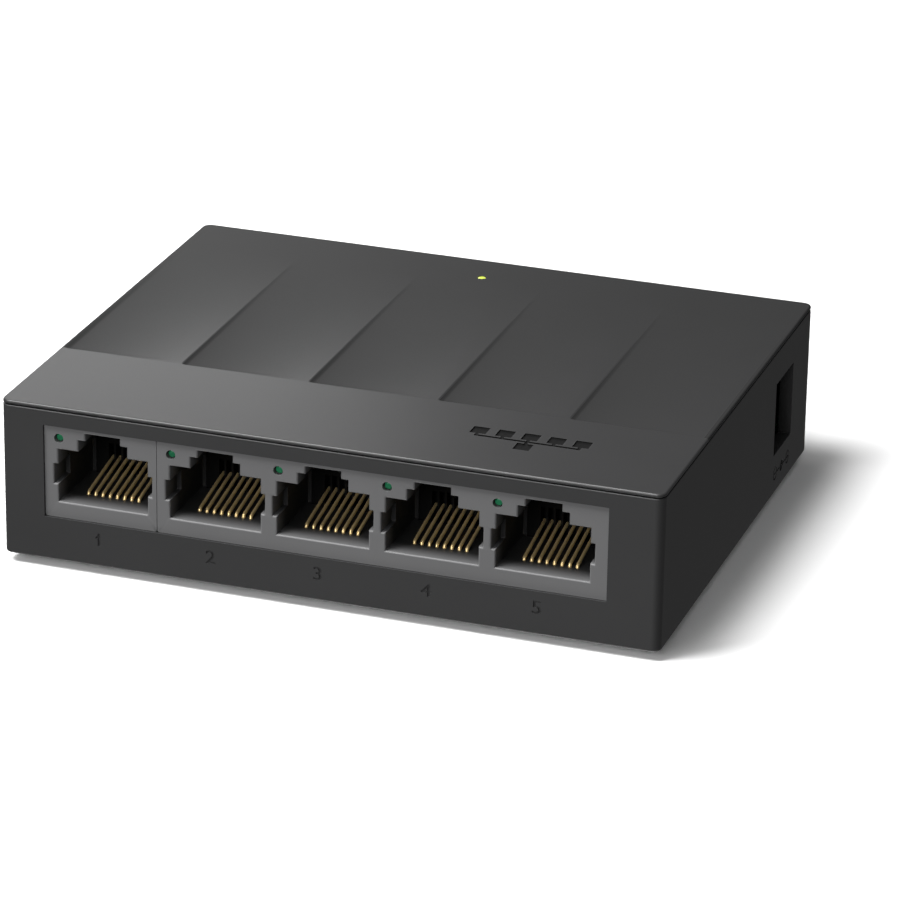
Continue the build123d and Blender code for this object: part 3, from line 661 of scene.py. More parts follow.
jack_plastic = moulded_plastic("jack_plastic", (0.112, 0.112, 0.114), (0.124, 0.124, 0.126), 0.5, 7000)
# Painted shade inside each port: the housing's grey darkens from its face inwards to near black, where shade falls
# in the cavity.
nodes, link = jack_plastic.node_tree.nodes, jack_plastic.node_tree.links.new
shader = nodes["Principled BSDF"]
place = nodes.new("ShaderNodeTexCoord")
axes = nodes.new("ShaderNodeSeparateXYZ")
painted_shade_depth = nodes.new("ShaderNodeMapRange")
painted_shade_depth.inputs["From Min"].default_value = jacks_low.y + painted_shade_from
painted_shade_depth.inputs["From Max"].default_value = jacks_low.y + painted_shade_by
painted_shade_depth.inputs["To Max"].default_value = painted_shade_most
link(place.outputs["Object"], axes.inputs["Vector"])
link(axes.outputs["Y"], painted_shade_depth.inputs["Value"])
grey = shader.inputs["Base Color"].links[0].from_socket
inside = shade_between(nodes, link, painted_shade_depth.outputs["Result"], grey, cavity_shade_colour)
link(inside, shader.inputs["Base Color"])
wire_places = [(i - (wire_count - 1) / 2) * wire_pitch for i in range(wire_count)]
face_y = jacks_low.y
light_z = jacks_high.z - light_drop

mouth_end = face_y + mouth_depth


def mouth_block(name, half, low_z, high_z):
    """A box as deep as the plug cavity, about the middle of a port."""
    return block(name, (-half, face_y - mm, low_z), (half, mouth_end, high_z))


cavity_tool = mouth_block("cavity_tool", mouth_half, mouth_floor_z, shoulder_z)
add_on(
    cavity_tool,
    mouth_block("latch_step", latch_half, shoulder_z - mm, latch_top_z),
    mouth_block("tongue_step", tongue_half, latch_top_z - mm, tongue_top_z),
    block(
        "side_slots",
        (-side_slot_half, face_y - mm, side_slot_low),
        (side_slot_half, face_y + side_slot_depth, side_slot_high),
    ),
)
carrier_low, carrier_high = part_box("port_1_contact_carrier")
carrier_half = (carrier_high.x - carrier_low.x) / 2 + carrier_gap
rear_tool = block(
    "rear_tool",
    (-carrier_half, mouth_end - mm / 2, board_high.z - mm),
    (carrier_half, jacks_high.y + mm, carrier_high.z + carrier_gap),
)
contact_low, contact_high = ports[0]
slits = [
    block(
        "slit",
        (x - slit_width / 2, contact_low.y - slit_front, board_high.z - mm),
        (x + slit_width / 2, contact_low.y + slit_rear, mouth_floor_z + mm),
    )
    for x in wire_places
]
slit_tool = join(*slits)
slit_tool.name = "slit_tool"
light_ends = [(light_shift, y, light_z) for y in (face_y - mm, jacks_high.y + mm)]
light_tool = rod("light_tool", light_hole, *light_ends, 32)


def copy_at(piece, place):
    """A copy with its own mesh, moved by the given step."""
    copied = piece.copy()
    copied.data = piece.data.copy()
    bpy.context.scene.collection.objects.link(copied)
    copied.location = place
    return settle(copied)


for jack_name, jack_ports in (("single", ports_x[:1]), ("gang", ports_x[1:])):
    node = f"jack_housing_{jack_name}"
    jack_low, jack_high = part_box(node)
    jack = block(f"jack_{jack_name}", (jack_low.x, face_y, board_high.z), jack_high)
    for port_x in jack_ports:
        cut(jack, copy_at(cavity_tool, (port_x, 0, 0)))
    pick_edges(
        jack,
        lambda a, b: near(a.y, face_y) and near(b.y, face_y)
        and jack_low.x + mm / 2 < (a.x + b.x) / 2 < jack_high.x - mm / 2
        and board_high.z + mm / 2 < (a.z + b.z) / 2 < jack_high.z - mm / 4,
    )
    round_picked(mouth_round, 3)
    round_all(jack, jack_round, 2, 40)
    for port_x in jack_ports:
        step = (port_x, 0, 0)
        cut(jack, copy_at(rear_tool, step), copy_at(slit_tool, step), copy_at(light_tool, step))
    peg_y = face_y + peg_from_face
    peg_ports = jack_ports if jack_name == "single" else (jack_ports[0], jack_ports[-1])
    for port_x in peg_ports:
        peg_top = board_high.z + mm
        add_on(jack, rod("peg", peg_radius, (port_x, peg_y, jack_low.z), (port_x, peg_y, peg_top), 32))
    finish_shading(jack, 40)
    dress(jack, jack_plastic, node)
for tool in (cavity_tool, rear_tool, slit_tool, light_tool):
    bpy.data.objects.remove(tool)


# Contacts: eight sprung wires a port, drawn phosphor bronze with a gold flash. Each comes up through its
# slit, bends over a pivot near the mouth and slopes up to the comb of the carrier behind it.

wire_radius = 0.23 * mm
wire_sides = 12
wire_bend = 0.45 * mm
wire_slope = 12
wire_bend_steps = 8
tip_round = 0.08 * mm


def push_on(step):
    """Extrudes what is picked by a step."""
    bpy.ops.mesh.extrude_region_move(TRANSFORM_OT_translate={"value": step})


gold_shades = (0.86, 0.62, 0.28), (0.95, 0.74, 0.38)
contact_gold = fine_finish("contact_gold", *gold_shades, (0.3, 0.42), 5000, 0.002 * mm, 400, 0.7)

for number, (contact_low, contact_high) in enumerate(ports, start=1):
    joint = next(j for j in frame["joints"] if j["name"] == f"port_{number}_contact_flex")
    pivot = Vector(joint["pos_m"])
    first_x = contact_low.x + wire_radius
    wire_end = {"vertices": wire_sides, "radius": wire_radius, "fill_type": "NGON"}
    contact = new_shape(f"port_{number}_wires", bpy.ops.mesh.primitive_circle_add, **wire_end)
    contact.location = (first_x, pivot.y - wire_bend, contact_low.z)
    settle(contact)
    bpy.ops.object.mode_set(mode="EDIT")
    bpy.ops.mesh.select_all(action="SELECT")
    push_on((0, 0, pivot.z - contact_low.z))
    bend = radians(90 - wire_slope)
    bpy.ops.mesh.spin(steps=wire_bend_steps, angle=bend, center=pivot, axis=(1, 0, 0))
    bend_end = pivot + wire_bend * Vector((0, -sin(radians(wire_slope)), cos(radians(wire_slope))))
    run = (contact_high.y - bend_end.y) / cos(radians(wire_slope)) - wire_radius * sin(radians(wire_slope))
    way = Vector((0, cos(radians(wire_slope)), sin(radians(wire_slope))))
    push_on(way * run)
    bpy.ops.mesh.bevel(offset=tip_round, segments=2, affect="EDGES")
    turn_outwards()
    row = contact.modifiers.new("row", "ARRAY")
    row.count = wire_count
    row.use_relative_offset = False
    row.use_constant_offset = True
    row.constant_offset_displace = (wire_pitch, 0, 0)
    bpy.ops.object.modifier_apply(modifier=row.name)
    finish_shading(contact)
    dress(contact, contact_gold, f"port_{number}_contacts", f"contacts_{number}")


# Light pipes: a round rod of green-tinted clear plastic for each port, from a lamp on the board behind the
# jack. It rises, bends forward over the jack's rear and runs through its hole to a rounded end at the face.

pipe_bend = 1.2 * mm
pipe_bend_steps = 10
pipe_end_round = 0.32 * mm

green_shades = (0.015, 0.17, 0.075), (0.03, 0.32, 0.14)
pipe_green = fine_finish("pipe_green", *green_shades, (0.12, 0.2), 3000, 0.0005 * mm, 900)
shader = pipe_green.node_tree.nodes["Principled BSDF"]
shader.inputs["Transmission Weight"].default_value = 0.25
for number in range(1, 6):
    pipe_low, pipe_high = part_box(f"port_{number}_light_pipe")
    pipe_x = (pipe_low.x + pipe_high.x) / 2
    pipe_radius = (pipe_high.x - pipe_low.x) / 2
    bend_y = pipe_high.y - pipe_radius - pipe_bend
    bend_z = pipe_high.z - pipe_radius - pipe_bend
    pipe_end = {"vertices": 24, "radius": pipe_radius, "fill_type": "NGON", "rotation": (pi / 2, 0, 0)}
    pipe = new_shape(f"port_{number}_green_pipe", bpy.ops.mesh.primitive_circle_add, **pipe_end)
    pipe.location = (pipe_x, pipe_low.y, pipe_high.z - pipe_radius)
    settle(pipe)
    bpy.ops.object.mode_set(mode="EDIT")
    bpy.ops.mesh.select_all(action="SELECT")
    push_on((0, bend_y - pipe_low.y, 0))
    middle = (pipe_x, bend_y, bend_z)
    bpy.ops.mesh.spin(steps=pipe_bend_steps, angle=pi / 2, center=middle, axis=(1, 0, 0))
    push_on((0, 0, pipe_low.z - bend_z))
    turn_outwards()
    round_level(pipe, 1, pipe_low.y, pipe_end_round, 4)
    finish_shading(pipe)
    dress(pipe, pipe_green, f"port_{number}_light_pipe")


# DC inlet: a black nylon body with a round bore, a nickel-plated centre pin, a sprung leaf that presses on
# the plug's barrel and three tinned terminals soldered through the board.

inlet_round = 0.25 * mm
bore_radius = 3.15 * mm
bore_rim = 3.3 * mm
bore_depth = 10.0 * mm
bore_lead_in = 0.35 * mm
pin_bore = 1.0 * mm
pin_tip_round = 0.55 * mm
leaf_room_half = 1.35 * mm
leaf_room_end = 0.5 * mm
leaf_room_under = 0.7 * mm

nylon_shades = (0.022, 0.022, 0.022), (0.032, 0.032, 0.032)
inlet_plastic = moulded_plastic("inlet_plastic", *nylon_shades, 0.38, 5000, 0.003 * mm)
pin_low, pin_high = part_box("inlet_pin")
leaf_low, leaf_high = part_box("inlet_leaf")
axis_z = (pin_low.z + pin_high.z) / 2
inlet = block("inlet_housing", inlet_low, inlet_high)
bore_end = inlet_high.x - bore_depth
cut(inlet, rod("bore", bore_radius, (bore_end, inlet_y, axis_z), (inlet_high.x + mm, inlet_y, axis_z), 64))
pick_edges(
    inlet,
    lambda a, b: near(a.x, inlet_high.x) and near(b.x, inlet_high.x)
    and abs(a.y - inlet_y) < bore_rim and abs(b.y - inlet_y) < bore_rim,
)
round_picked(bore_lead_in, 3)
round_all(inlet, inlet_round, 3, 40)
cut(
    inlet,
    rod("pin_bore", pin_bore, (inlet_low.x - mm, inlet_y, axis_z), (bore_end + mm, inlet_y, axis_z), 32),
    block(
        "leaf_room",
        (leaf_low.x - leaf_room_end, inlet_y - leaf_room_half, leaf_low.z - leaf_room_under),
        (leaf_high.x + leaf_room_end, inlet_y + leaf_room_half, axis_z),
    ),
)
finish_shading(inlet, 40)
dress(inlet, inlet_plastic, "inlet_body")

nickel_shades = (0.60, 0.58, 0.54), (0.72, 0.70, 0.66)
nickel = fine_finish("nickel_plate", *nickel_shades, (0.14, 0.26), 3000, 0.0008 * mm, 500, 1)

pin = rod("inlet_centre_pin", pin_bore, (pin_low.x, inlet_y, axis_z), (pin_high.x, inlet_y, axis_z), 32)
round_level(pin, 0, pin_high.x, pin_tip_round, 5)
finish_shading(pin)
dress(pin, nickel, "inlet_pin")


# Inlet's leaf and terminals: the leaf is nickel-plated spring bronze, riveted in the body. The terminals are
# tinned brass blades, which go through the board and are soldered under it.


def coat_node(material, *names):
    """Gives pieces that keep the frame's own shape their finish."""
    for name in names:
        frame["nodes"][name].material_slots[0].material = material


coat_node(nickel, "inlet_leaf")
tin_shades = (0.52, 0.52, 0.50), (0.70, 0.70, 0.68)
tin = fine_finish("dull_tin", *tin_shades, (0.3, 0.5), 2200, 0.003 * mm, 600, 1)
coat_node(tin, "inlet_terminals")


# Contact carriers and tails: a black polyester comb behind each port holds the wires' rear ends apart, and
# their tinned tails run down through it to the solder side of the board.

# The combs are black plastic, but are taken almost to pure black, darker than the other black parts, as painted
# shade at the back of each port.
carrier_shades = (0.002, 0.002, 0.002), (0.004, 0.004, 0.004)
carrier_black = moulded_plastic("carrier_black", *carrier_shades, 0.7, 5000, gloss=0.1)
for number in range(1, 6):
    coat_node(carrier_black, f"port_{number}_contact_carrier")
    coat_node(tin, f"port_{number}_tails")


# Main board: glass-epoxy laminate under green solder mask, with the copper runs showing through it as a
# paler green and the weave of the glass cloth faintly raised.

run_length = 5.5
run_pitch = 1.1
run_width = 0.13
weave_per_metre = 1800

board_mask, nodes, link, shader = start_material("solder_mask")
laminate = add_effect(nodes, mould_texture, Grains_per_metre=weave_per_metre, Grain_depth=0.004 * mm)
place = nodes.new("ShaderNodeTexCoord")
runs = nodes.new("ShaderNodeTexBrick")
runs.inputs["Scale"].default_value = 1 / mm
runs.inputs["Brick Width"].default_value = run_length
runs.inputs["Row Height"].default_value = run_pitch
runs.inputs["Mortar Size"].default_value = run_width
runs.inputs["Mortar Smooth"].default_value = 0.2
link(place.outputs["Object"], runs.inputs["Vector"])
bare = shade_between(nodes, link, laminate.outputs["Shade"], (0.006, 0.065, 0.028), (0.009, 0.085, 0.036))
over_copper = shade_between(nodes, link, runs.outputs["Fac"], bare, (0.018, 0.14, 0.06))
link(over_copper, shader.inputs["Base Color"])
link(value_between(nodes, link, laminate.outputs["Grain"], 0.25, 0.36), shader.inputs["Roughness"])
link(laminate.outputs["Normal"], shader.inputs["Normal"])
coat_node(board_mask, "main_board")


# Chips: the switch chip, a line module behind each port, the regulator and the resistors are moulded in a
# matt black compound. The inductor is a dark ferrite drum.

chip_shades = (0.018, 0.018, 0.019), (0.028, 0.028, 0.030)
chip_black = moulded_plastic("chip_black", *chip_shades, 0.6, 9000, 0.006 * mm)
coat_node(chip_black, "switch_chip", "regulator", "chip_resistors")
coat_node(chip_black, *[f"port_{number}_line_module" for number in range(1, 6)])
ferrite = moulded_plastic("ferrite", (0.030, 0.030, 0.032), (0.050, 0.049, 0.048), 0.5, 4000, 0.010 * mm)
coat_node(ferrite, "inductor")


# Cans: the crystal and the two electrolytic capacitors are drawn aluminium or steel, with a fine grain and a
# slow cloudiness.

can_shades = (0.60, 0.60, 0.61), (0.76, 0.76, 0.77)
can_metal = fine_finish("can_metal", *can_shades, (0.22, 0.36), 4000, 0.0015 * mm, 300, 1)
coat_node(can_metal, "crystal", "can_capacitors")


# Small ceramics and lamps: tan ceramic chip capacitors, and white lamp bodies under the light pipes.

ceramic_tan = moulded_plastic("ceramic_tan", (0.32, 0.22, 0.12), (0.44, 0.33, 0.20), 0.35, 5000, 0.003 * mm)
coat_node(ceramic_tan, "chip_capacitors")
lamp_white = moulded_plastic("lamp_white", (0.70, 0.70, 0.62), (0.82, 0.82, 0.75), 0.3, 5000, 0.002 * mm)
coat_node(lamp_white, "port_lamps", "power_lamp")


# Cover: the upper half of the case, moulded in the same ABS. It has a rim over a shadow groove, a lip that
# drops inside the tub and four bosses that the screws bite into. Its top is a flat band at the front, then
# five saw-tooth facets that fade out towards the rear, and a sunk sign of a bus line with a box a port.

groove_height = 0.25 * mm
groove_inset = 0.6 * mm
cover_round = 0.28 * mm
lip_gap = 0.15 * mm
lip_width = 1.2 * mm
lip_drop = 1.75 * mm
roof_gap = 0.8 * mm
boss_radius = 2.4 * mm
boss_hole = 1.15 * mm
boss_hole_depth = 7.5 * mm
collar_wall = 0.9 * mm
collar_length = 4.0 * mm
pipe_gap = 0.05 * mm
light_shoulder_drop = 2.6 * mm
facet_count = 5
band_depth = 20.1 * mm
facet_length = 43.6 * mm
facet_depth = 0.3 * mm
facet_rim = 0.6 * mm
facet_shift = -0.6 * mm
facet_lift = 0.02 * mm
facet_steps = 22
band_roughness = 0.40
facet_roughness = 0.74
# How far each facet's crest and rear lose the rougher finish and the painted shade, how quickly, and the colour of
# the painted shade.
crest_polish_and_shade_lift = 0.95
rear_polish_and_shade_lift = 0.3
polish_and_shade_fade = 0.8
facet_shade_dark = (0.004, 0.004, 0.004)
facet_shade_light = (0.006, 0.006, 0.006)
# Colour of the painted highlight along the cover's edges.
cover_edge_highlight = (0.09, 0.09, 0.091)
step_profile = ((-0.4, 0), (-0.25, 0.05), (-0.1, 0.2), (0.1, 0.5), (0.3, 0.8), (0.45, 0.95), (0.6, 1))
plate_overlap = 0.08 * mm
sign_x = 23.6 * mm
sign_y = -25.75 * mm
sign_size = Vector((16.0, 5.6)) * mm
sign_box = 2.2 * mm
sign_stroke = 0.5 * mm

cover_low, cover_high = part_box("top_cover")
rim_bottom = tub_high.z + groove_height
roof_bottom = jacks_high.z + roof_gap
cover = block("cover", (cover_low.x, cover_low.y, rim_bottom), cover_high)
round_uprights(cover, case_corner, 6)
round_level(cover, 2, cover_high.z, cover_round, 4)
round_level(cover, 2, rim_bottom, moulded_round, 2)


def facet_line(start, length):
    """Places along one side of a facet and how deep it is there: the rounded step, then the slow rise."""
    places = [(start + offset * mm, share) for offset, share in step_profile]
    first = places[-1][0]
    for i in range(1, facet_steps + 1):
        way = i / facet_steps
        places.append((first + way * (start + length - first), 1 - way))
    return places


def facet_tool(left, right, front, rear, top):
    """A solid whose underside is one facet, deepest at its front left corner and flush at right and rear."""
    columns = facet_line(left, right - left)
    rows = facet_line(front, rear - front)
    grid = {"x_subdivisions": len(columns) - 1, "y_subdivisions": len(rows) - 1, "size": 1}
    tool = new_shape("facet", bpy.ops.mesh.primitive_grid_add, **grid)
    for vert in tool.data.vertices:
        x, across = columns[round((vert.co.x + 0.5) * (len(columns) - 1))]
        y, along = rows[round((vert.co.y + 0.5) * (len(rows) - 1))]
        share = across * along
        vert.co = (x, y, top - facet_depth * share + facet_lift * (1 - share))
    bpy.ops.object.mode_set(mode="EDIT")
    bpy.ops.mesh.select_all(action="SELECT")
    push_on((0, 0, 2 * mm))
    turn_outwards(weld=False)
    return tool


facet_pitch = (cover_high.x - cover_low.x) / facet_count
facet_front = cover_low.y + band_depth


def cover_finish():
    """The case's plastic, with a rougher finish in each facet that smooths out at its crest, and painted shade in
    each facet: darkest at its step, almost gone at its crest and partly kept along the rear.
    """
    material, nodes, link, shader = start_material("cover_plastic")
    texture = add_effect(nodes, mould_texture, Grains_per_metre=6000, Grain_depth=0.004 * mm)
    wear_and_highlight = add_effect(nodes, edge_wear, Reach=wear_and_highlight_reach, Strength=wear_and_highlight_strength)
    total = partial(number_node, nodes, link)
    place = nodes.new("ShaderNodeTexCoord")
    axes = nodes.new("ShaderNodeSeparateXYZ")
    link(place.outputs["Object"], axes.inputs["Vector"])
    first_line = cover_low.x + facet_shift
    from_line = total("SUBTRACT", axes.outputs["X"], first_line)
    across = total("FRACT", total("DIVIDE", from_line, facet_pitch), 0)
    from_front = total("SUBTRACT", axes.outputs["Y"], facet_front)
    along = total("DIVIDE", from_front, facet_length, clamp=True)
    on_facets = total("GREATER_THAN", from_front, -0.1 * mm)
    lowest = cover_high.z - facet_depth - facet_lift
    near_top = total("GREATER_THAN", axes.outputs["Z"], lowest)
    inside = total("MULTIPLY", on_facets, near_top)
    # Painted shade across each facet: strongest at its step, lifting to almost none at its crest, partly kept
    # along the rear. The same mask makes the finish rougher where the shade is.
    polish = total("POWER", across, polish_and_shade_fade)
    polish = total("MULTIPLY", polish, crest_polish_and_shade_lift)
    fading = nodes.new("ShaderNodeMix")
    fading.inputs["B"].default_value = rear_polish_and_shade_lift
    link(along, fading.inputs["Factor"])
    link(polish, fading.inputs["A"])
    dull_and_shaded = total("SUBTRACT", 1, fading.outputs["Result"])
    dull_and_shaded = total("MULTIPLY", dull_and_shaded, inside)
    body = shade_between(nodes, link, texture.outputs["Shade"], case_dark, case_light)
    facet_shade_colour = shade_between(nodes, link, texture.outputs["Shade"], facet_shade_dark, facet_shade_light)
    mixed = shade_between(nodes, link, dull_and_shaded, body, facet_shade_colour)
    # Painted highlight: the cover's edges are lifted to about three times the body's colour under the edge mask.
    edged = shade_between(nodes, link, wear_and_highlight.outputs["Mask"], mixed, cover_edge_highlight)
    link(edged, shader.inputs["Base Color"])
    grainy = value_between(nodes, link, texture.outputs["Grain"], -0.05, 0.05)
    rough = value_between(nodes, link, dull_and_shaded, band_roughness, facet_roughness)
    rough = total("ADD", grainy, rough)
    link(smoother_at_edges(nodes, link, wear_and_highlight, rough), shader.inputs["Roughness"])
    link(texture.outputs["Normal"], shader.inputs["Normal"])
    return material


cover_plastic = cover_finish()
cover.data.materials.append(cover_plastic)
for i in range(facet_count):
    left = cover_low.x + (i * facet_pitch + facet_shift if i else facet_rim)
    right = cover_low.x + (i + 1) * facet_pitch + (facet_shift if i < facet_count - 1 else 0)
    cut(cover, facet_tool(left, right, facet_front, facet_front + facet_length, cover_high.z))

# The underside: neck, roof, lip, bosses and the power light's collar
neck_low = (cover_low.x + groove_inset, cover_low.y + groove_inset, tub_high.z)
neck_high = (cover_high.x - groove_inset, cover_high.y - groove_inset, rim_bottom + plate_overlap)
neck = block("neck", neck_low, neck_high)
round_uprights(neck, case_corner / 2, 5)
lip_half = Vector((cover_high.x, cover_high.y)) - Vector((1, 1)) * (case_wall + lip_gap)
roof = block("roof", (*-lip_half, roof_bottom), (*lip_half, rim_bottom + plate_overlap))
round_uprights(roof, pocket_corner, 4)
lip = block("lip", (*-lip_half, tub_high.z - lip_drop), (*lip_half, roof_bottom + mm / 4))
round_uprights(lip, pocket_corner, 4)
lip_bore_half = lip_half - Vector((1, 1)) * lip_width
cut(lip, block("lip_bore", (*-lip_bore_half, tub_high.z - 2 * lip_drop), (*lip_bore_half, roof_bottom + mm)))
round_all(lip, moulded_round)
add_on(cover, neck, roof, lip)
light_low, light_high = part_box("power_light_pipe")
light_x, light_y = (light_low.x + light_high.x) / 2, (light_low.y + light_high.y) / 2
light_rod = (light_high.x - light_low.x) / 2
light_tip = light_rod / 2
light_shoulder = cover_high.z - light_shoulder_drop
for x, y in screw_places:
    add_on(cover, rod("boss", boss_radius, (x, y, board_high.z), (x, y, roof_bottom + mm / 4)))
    hole_top = board_high.z + boss_hole_depth
    cut(cover, rod("boss_hole", boss_hole, (x, y, board_high.z - mm), (x, y, hole_top), 32))
collar_low = roof_bottom - collar_length
rod_hole = light_rod + pipe_gap
tip_hole = light_tip + pipe_gap


def light_bar(name, radius, low_z, high_z, sides=48):
    """An upright round bar on the power light's axis."""
    return rod(name, radius, (light_x, light_y, low_z), (light_x, light_y, high_z), sides)


add_on(cover, light_bar("collar", rod_hole + collar_wall, collar_low, roof_bottom + mm / 4))
cut(cover, light_bar("rod_hole", rod_hole, collar_low - mm, light_shoulder, 32))
cut(cover, light_bar("tip_hole", tip_hole, light_shoulder - mm, cover_high.z + mm, 32))

# The sign, sunk with a black floor
bar_half = (sign_size.x - sign_box) / 2
rise = (sign_size.y - sign_box) / 2
box_places = [(-bar_half + i * bar_half / 2, rise) for i in range(len(ports_x))] + [(0, -rise)]
network_sign = flat_mark(
    [((-bar_half, 0), (bar_half, 0))] + [((x, 0), (x, y)) for x, y in box_places],
    sign_stroke,
    mark_depth,
    squares=[(place, sign_box / 2) for place in box_places],
)
sign_shades = (0.006, 0.006, 0.006), (0.008, 0.008, 0.008)
sign_black = moulded_plastic("sign_black", *sign_shades, 0.6, 2000, 0.0005 * mm, 0.1)
network_sign.data.materials.append(sign_black)
network_sign.location = (sign_x, sign_y, cover_high.z)
use_boolean(cover, settle(network_sign), "DIFFERENCE", "TRANSFER")
finish_shading(cover, 30)
dress(cover, cover_plastic, "top_cover")


# Power light: a stepped rod of clear plastic that carries a yellow-green lamp's light up to the cover's top,
# where its narrow tip ends just under the surface.

tip_round = 0.15 * mm

power_pipe = light_bar("power_rod", light_rod, light_low.z, light_shoulder, 32)
pick_faces(power_pipe, lambda place, normal: normal.z > 0.9)
bpy.ops.mesh.inset(thickness=light_rod - light_tip)
tip_run = light_high.z - light_shoulder
push_on((0, 0, tip_run))
bpy.ops.mesh.bevel(offset=tip_round, segments=3, affect="EDGES")
close_editing()
finish_shading(power_pipe)
lit_shades = (0.42, 0.50, 0.06), (0.55, 0.62, 0.10)
power_clear = fine_finish("power_light_clear", *lit_shades, (0.1, 0.2), 3000, 0.0005 * mm, 900)
shader = power_clear.node_tree.nodes["Principled BSDF"]
lit = shader.inputs["Base Color"].links[0].from_socket
power_clear.node_tree.links.new(lit, shader.inputs["Emission Color"])
shader.inputs["Emission Strength"].default_value = 0.25
dress(power_pipe, power_clear, "power_light_pipe")


# Screws: four black zinc-plated pan heads with a cross recess, driven from below through the standoffs and
# the board into the cover's bosses, which they cut their own thread in.

screw_radius = 1.1 * mm
thread_root = 0.82 * mm
thread_pitch = 0.8 * mm
thread_size = 0.42 * thread_pitch
thread_sink = 0.04 * mm
thread_steps = 20
shank_end_round = thread_root * 0.6
thread_start = 3.0 * mm
head_round = 0.7 * mm
drive_half = 0.85 * mm
drive_slot = 0.42 * mm
drive_depth = 0.8 * mm

zinc_shades = (0.10, 0.10, 0.105), (0.17, 0.17, 0.175)
screw_steel = fine_finish("screw_steel", *zinc_shades, (0.26, 0.42), 2600, 0.002 * mm, 700, 1)

head = rod("screw_model", screw_head_radius, (0, 0, -screw_head_height), (0, 0, 0), 40)
round_level(head, 2, -screw_head_height, head_round, 5)
for half_x, half_y in ((drive_half, drive_slot / 2), (drive_slot / 2, drive_half)):
    drive_end = (half_x, half_y, drive_depth - screw_head_height)
    cut(head, block("drive", (-half_x, -half_y, -2 * screw_head_height), drive_end))
shank_length = screws_high.z - screw_seat_z
turns = int((shank_length - thread_start) / thread_pitch) - 1
shank = rod("shank", thread_root, (0, 0, -mm / 4), (0, 0, shank_length), 24)
round_level(shank, 2, shank_length, shank_end_round, 2)
add_on(head, shank)
ridge = {"vertices": 3, "radius": thread_size, "rotation": (pi / 2, 0, 0)}
thread = new_shape("thread", bpy.ops.mesh.primitive_circle_add, **ridge)
thread.location = (thread_root - thread_sink, 0, thread_start)
settle(thread)
for vert in thread.data.vertices:
    outward = vert.co.x > thread_root
    vert.co.x = min(vert.co.x, screw_radius) if outward else thread_root - 2 * thread_sink
helix = thread.modifiers.new("helix", "SCREW")
helix.axis = "Z"
helix.screw_offset = thread_pitch
helix.iterations = turns
helix.steps = helix.render_steps = thread_steps
helix.use_merge_vertices = True
bpy.ops.object.modifier_apply(modifier=helix.name)
pick_edges(thread, lambda a, b: True)
bpy.ops.mesh.fill_holes(sides=8)
turn_outwards(weld=False)
screw_model = join(head, thread)
copies = [copy_at(screw_model, (x, y, screw_seat_z)) for x, y in screw_places]
bpy.data.objects.remove(screw_model)
screws = join(*copies)
screws.name = "pan_head_screws"
finish_shading(screws)
dress(screws, screw_steel, "case_screws")


# Stage: a plain pale floor and soft studio light, with the camera a little above and to the right. The floor
# shows only from above, pales to white further off and lets light through, so that the underside is lit too.

paling_from = 0.16
white_by = 0.45


def mix_shaders(nodes, link, factor, first, second):
    """One shader that turns into another as the factor goes from 0 to 1."""
    mixed = nodes.new("ShaderNodeMixShader")
    for socket, value in zip(mixed.inputs, (factor, first, second)):
        link(value, socket)
    return mixed.outputs["Shader"]


studio_floor = new_shape("studio_floor", bpy.ops.mesh.primitive_plane_add, size=6, location=(0, 0, 0))
floor_paint, nodes, link, shader = start_material("floor_paint")
shader.inputs["Base Color"].default_value = (0.92, 0.92, 0.92, 1)
shader.inputs["Roughness"].default_value = 0.9
shader.inputs["Specular IOR Level"].default_value = 0.1
place = nodes.new("ShaderNodeTexCoord")
distance = nodes.new("ShaderNodeVectorMath")
distance.operation = "LENGTH"
paling = nodes.new("ShaderNodeMapRange")
paling.inputs["From Min"].default_value = paling_from
paling.inputs["From Max"].default_value = white_by
link(place.outputs["Object"], distance.inputs[0])
link(distance.outputs["Value"], paling.inputs["Value"])
white = nodes.new("ShaderNodeEmission").outputs["Emission"]
clear = nodes.new("ShaderNodeBsdfTransparent").outputs["BSDF"]
camera_ray = nodes.new("ShaderNodeLightPath").outputs["Is Camera Ray"]
from_below = nodes.new("ShaderNodeNewGeometry").outputs["Backfacing"]
paled = mix_shaders(nodes, link, paling.outputs["Result"], shader.outputs["BSDF"], white)
seen = mix_shaders(nodes, link, camera_ray, clear, paled)
one_sided = mix_shaders(nodes, link, from_below, seen, clear)
link(one_sided, nodes["Material Output"].inputs["Surface"])
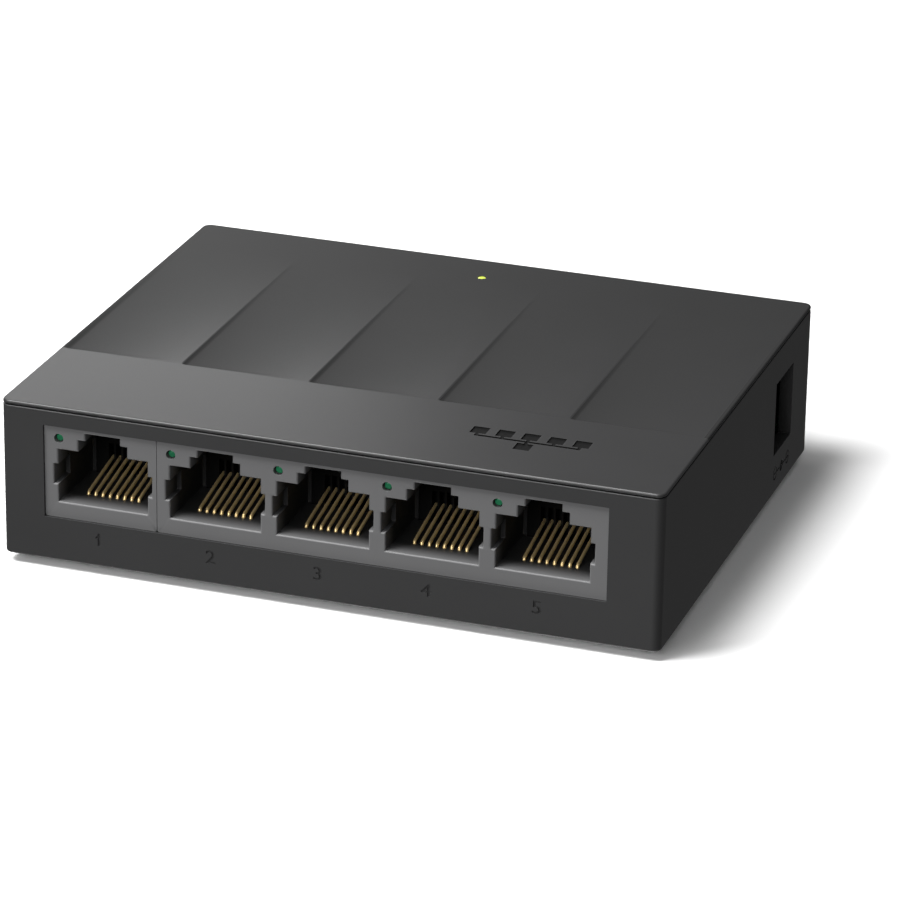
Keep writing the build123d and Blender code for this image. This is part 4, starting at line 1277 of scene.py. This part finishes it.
studio_floor.data.materials.append(floor_paint)

camera = bpy.data.cameras.new("studio_camera")
camera.lens = 186.67
camera.sensor_width = 36
camera.clip_start = 0.01
camera.shift_x = 0.0022
camera.shift_y = -0.0022
camera_stand = bpy.data.objects.new("studio_camera", camera)
camera_stand.location = (0.18877, -0.55142, 0.24977)
camera_stand.rotation_euler = (radians(67.535), radians(-0.871), radians(18.850))
bpy.context.scene.collection.objects.link(camera_stand)
bpy.context.scene.camera = camera_stand


def soft_light(name, place, aim, size, power):
    """A soft box that no camera sees, aimed at a point."""
    lamp = bpy.data.lights.new(name, "AREA")
    lamp.shape = "RECTANGLE"
    lamp.size, lamp.size_y = size
    lamp.energy = power
    stand = bpy.data.objects.new(name, lamp)
    stand.location = place
    stand.rotation_euler = (Vector(aim) - Vector(place)).to_track_quat("-Z", "Y").to_euler()
    stand.visible_camera = False
    bpy.context.scene.collection.objects.link(stand)


soft_light("left_key", (-0.4, -0.3, 1.0), (0, 0, 0), (0.4, 0.7), 21)
soft_light("front_fill", (-0.1, -1.0, 0.45), (0, 0, 0.01), (0.8, 0.5), 7)
soft_light("rear_strip", (-0.155, 0.15, 0.105), (0, -0.02, 0.02), (0.20, 0.04), 0.095)
soft_light("under_fill", (0.0, -0.05, -0.5), (0, 0, 0), (0.5, 0.5), 2.5)

world = bpy.data.worlds.new("studio")
world.use_nodes = True
bpy.context.scene.world = world
nodes = world.node_tree.nodes
link = world.node_tree.links.new
room = nodes["Background"]
room.inputs["Color"].default_value = (1, 1, 1, 1)
room.inputs["Strength"].default_value = 0.12
backdrop = nodes.new("ShaderNodeBackground")
backdrop.inputs["Color"].default_value = (1, 1, 1, 1)
backdrop.inputs["Strength"].default_value = 1.0
camera_ray = nodes.new("ShaderNodeLightPath").outputs["Is Camera Ray"]
seen = mix_shaders(nodes, link, camera_ray, room.outputs["Background"], backdrop.outputs["Background"])
link(seen, nodes["World Output"].inputs["Surface"])
bpy.context.scene.view_settings.view_transform = "Standard"
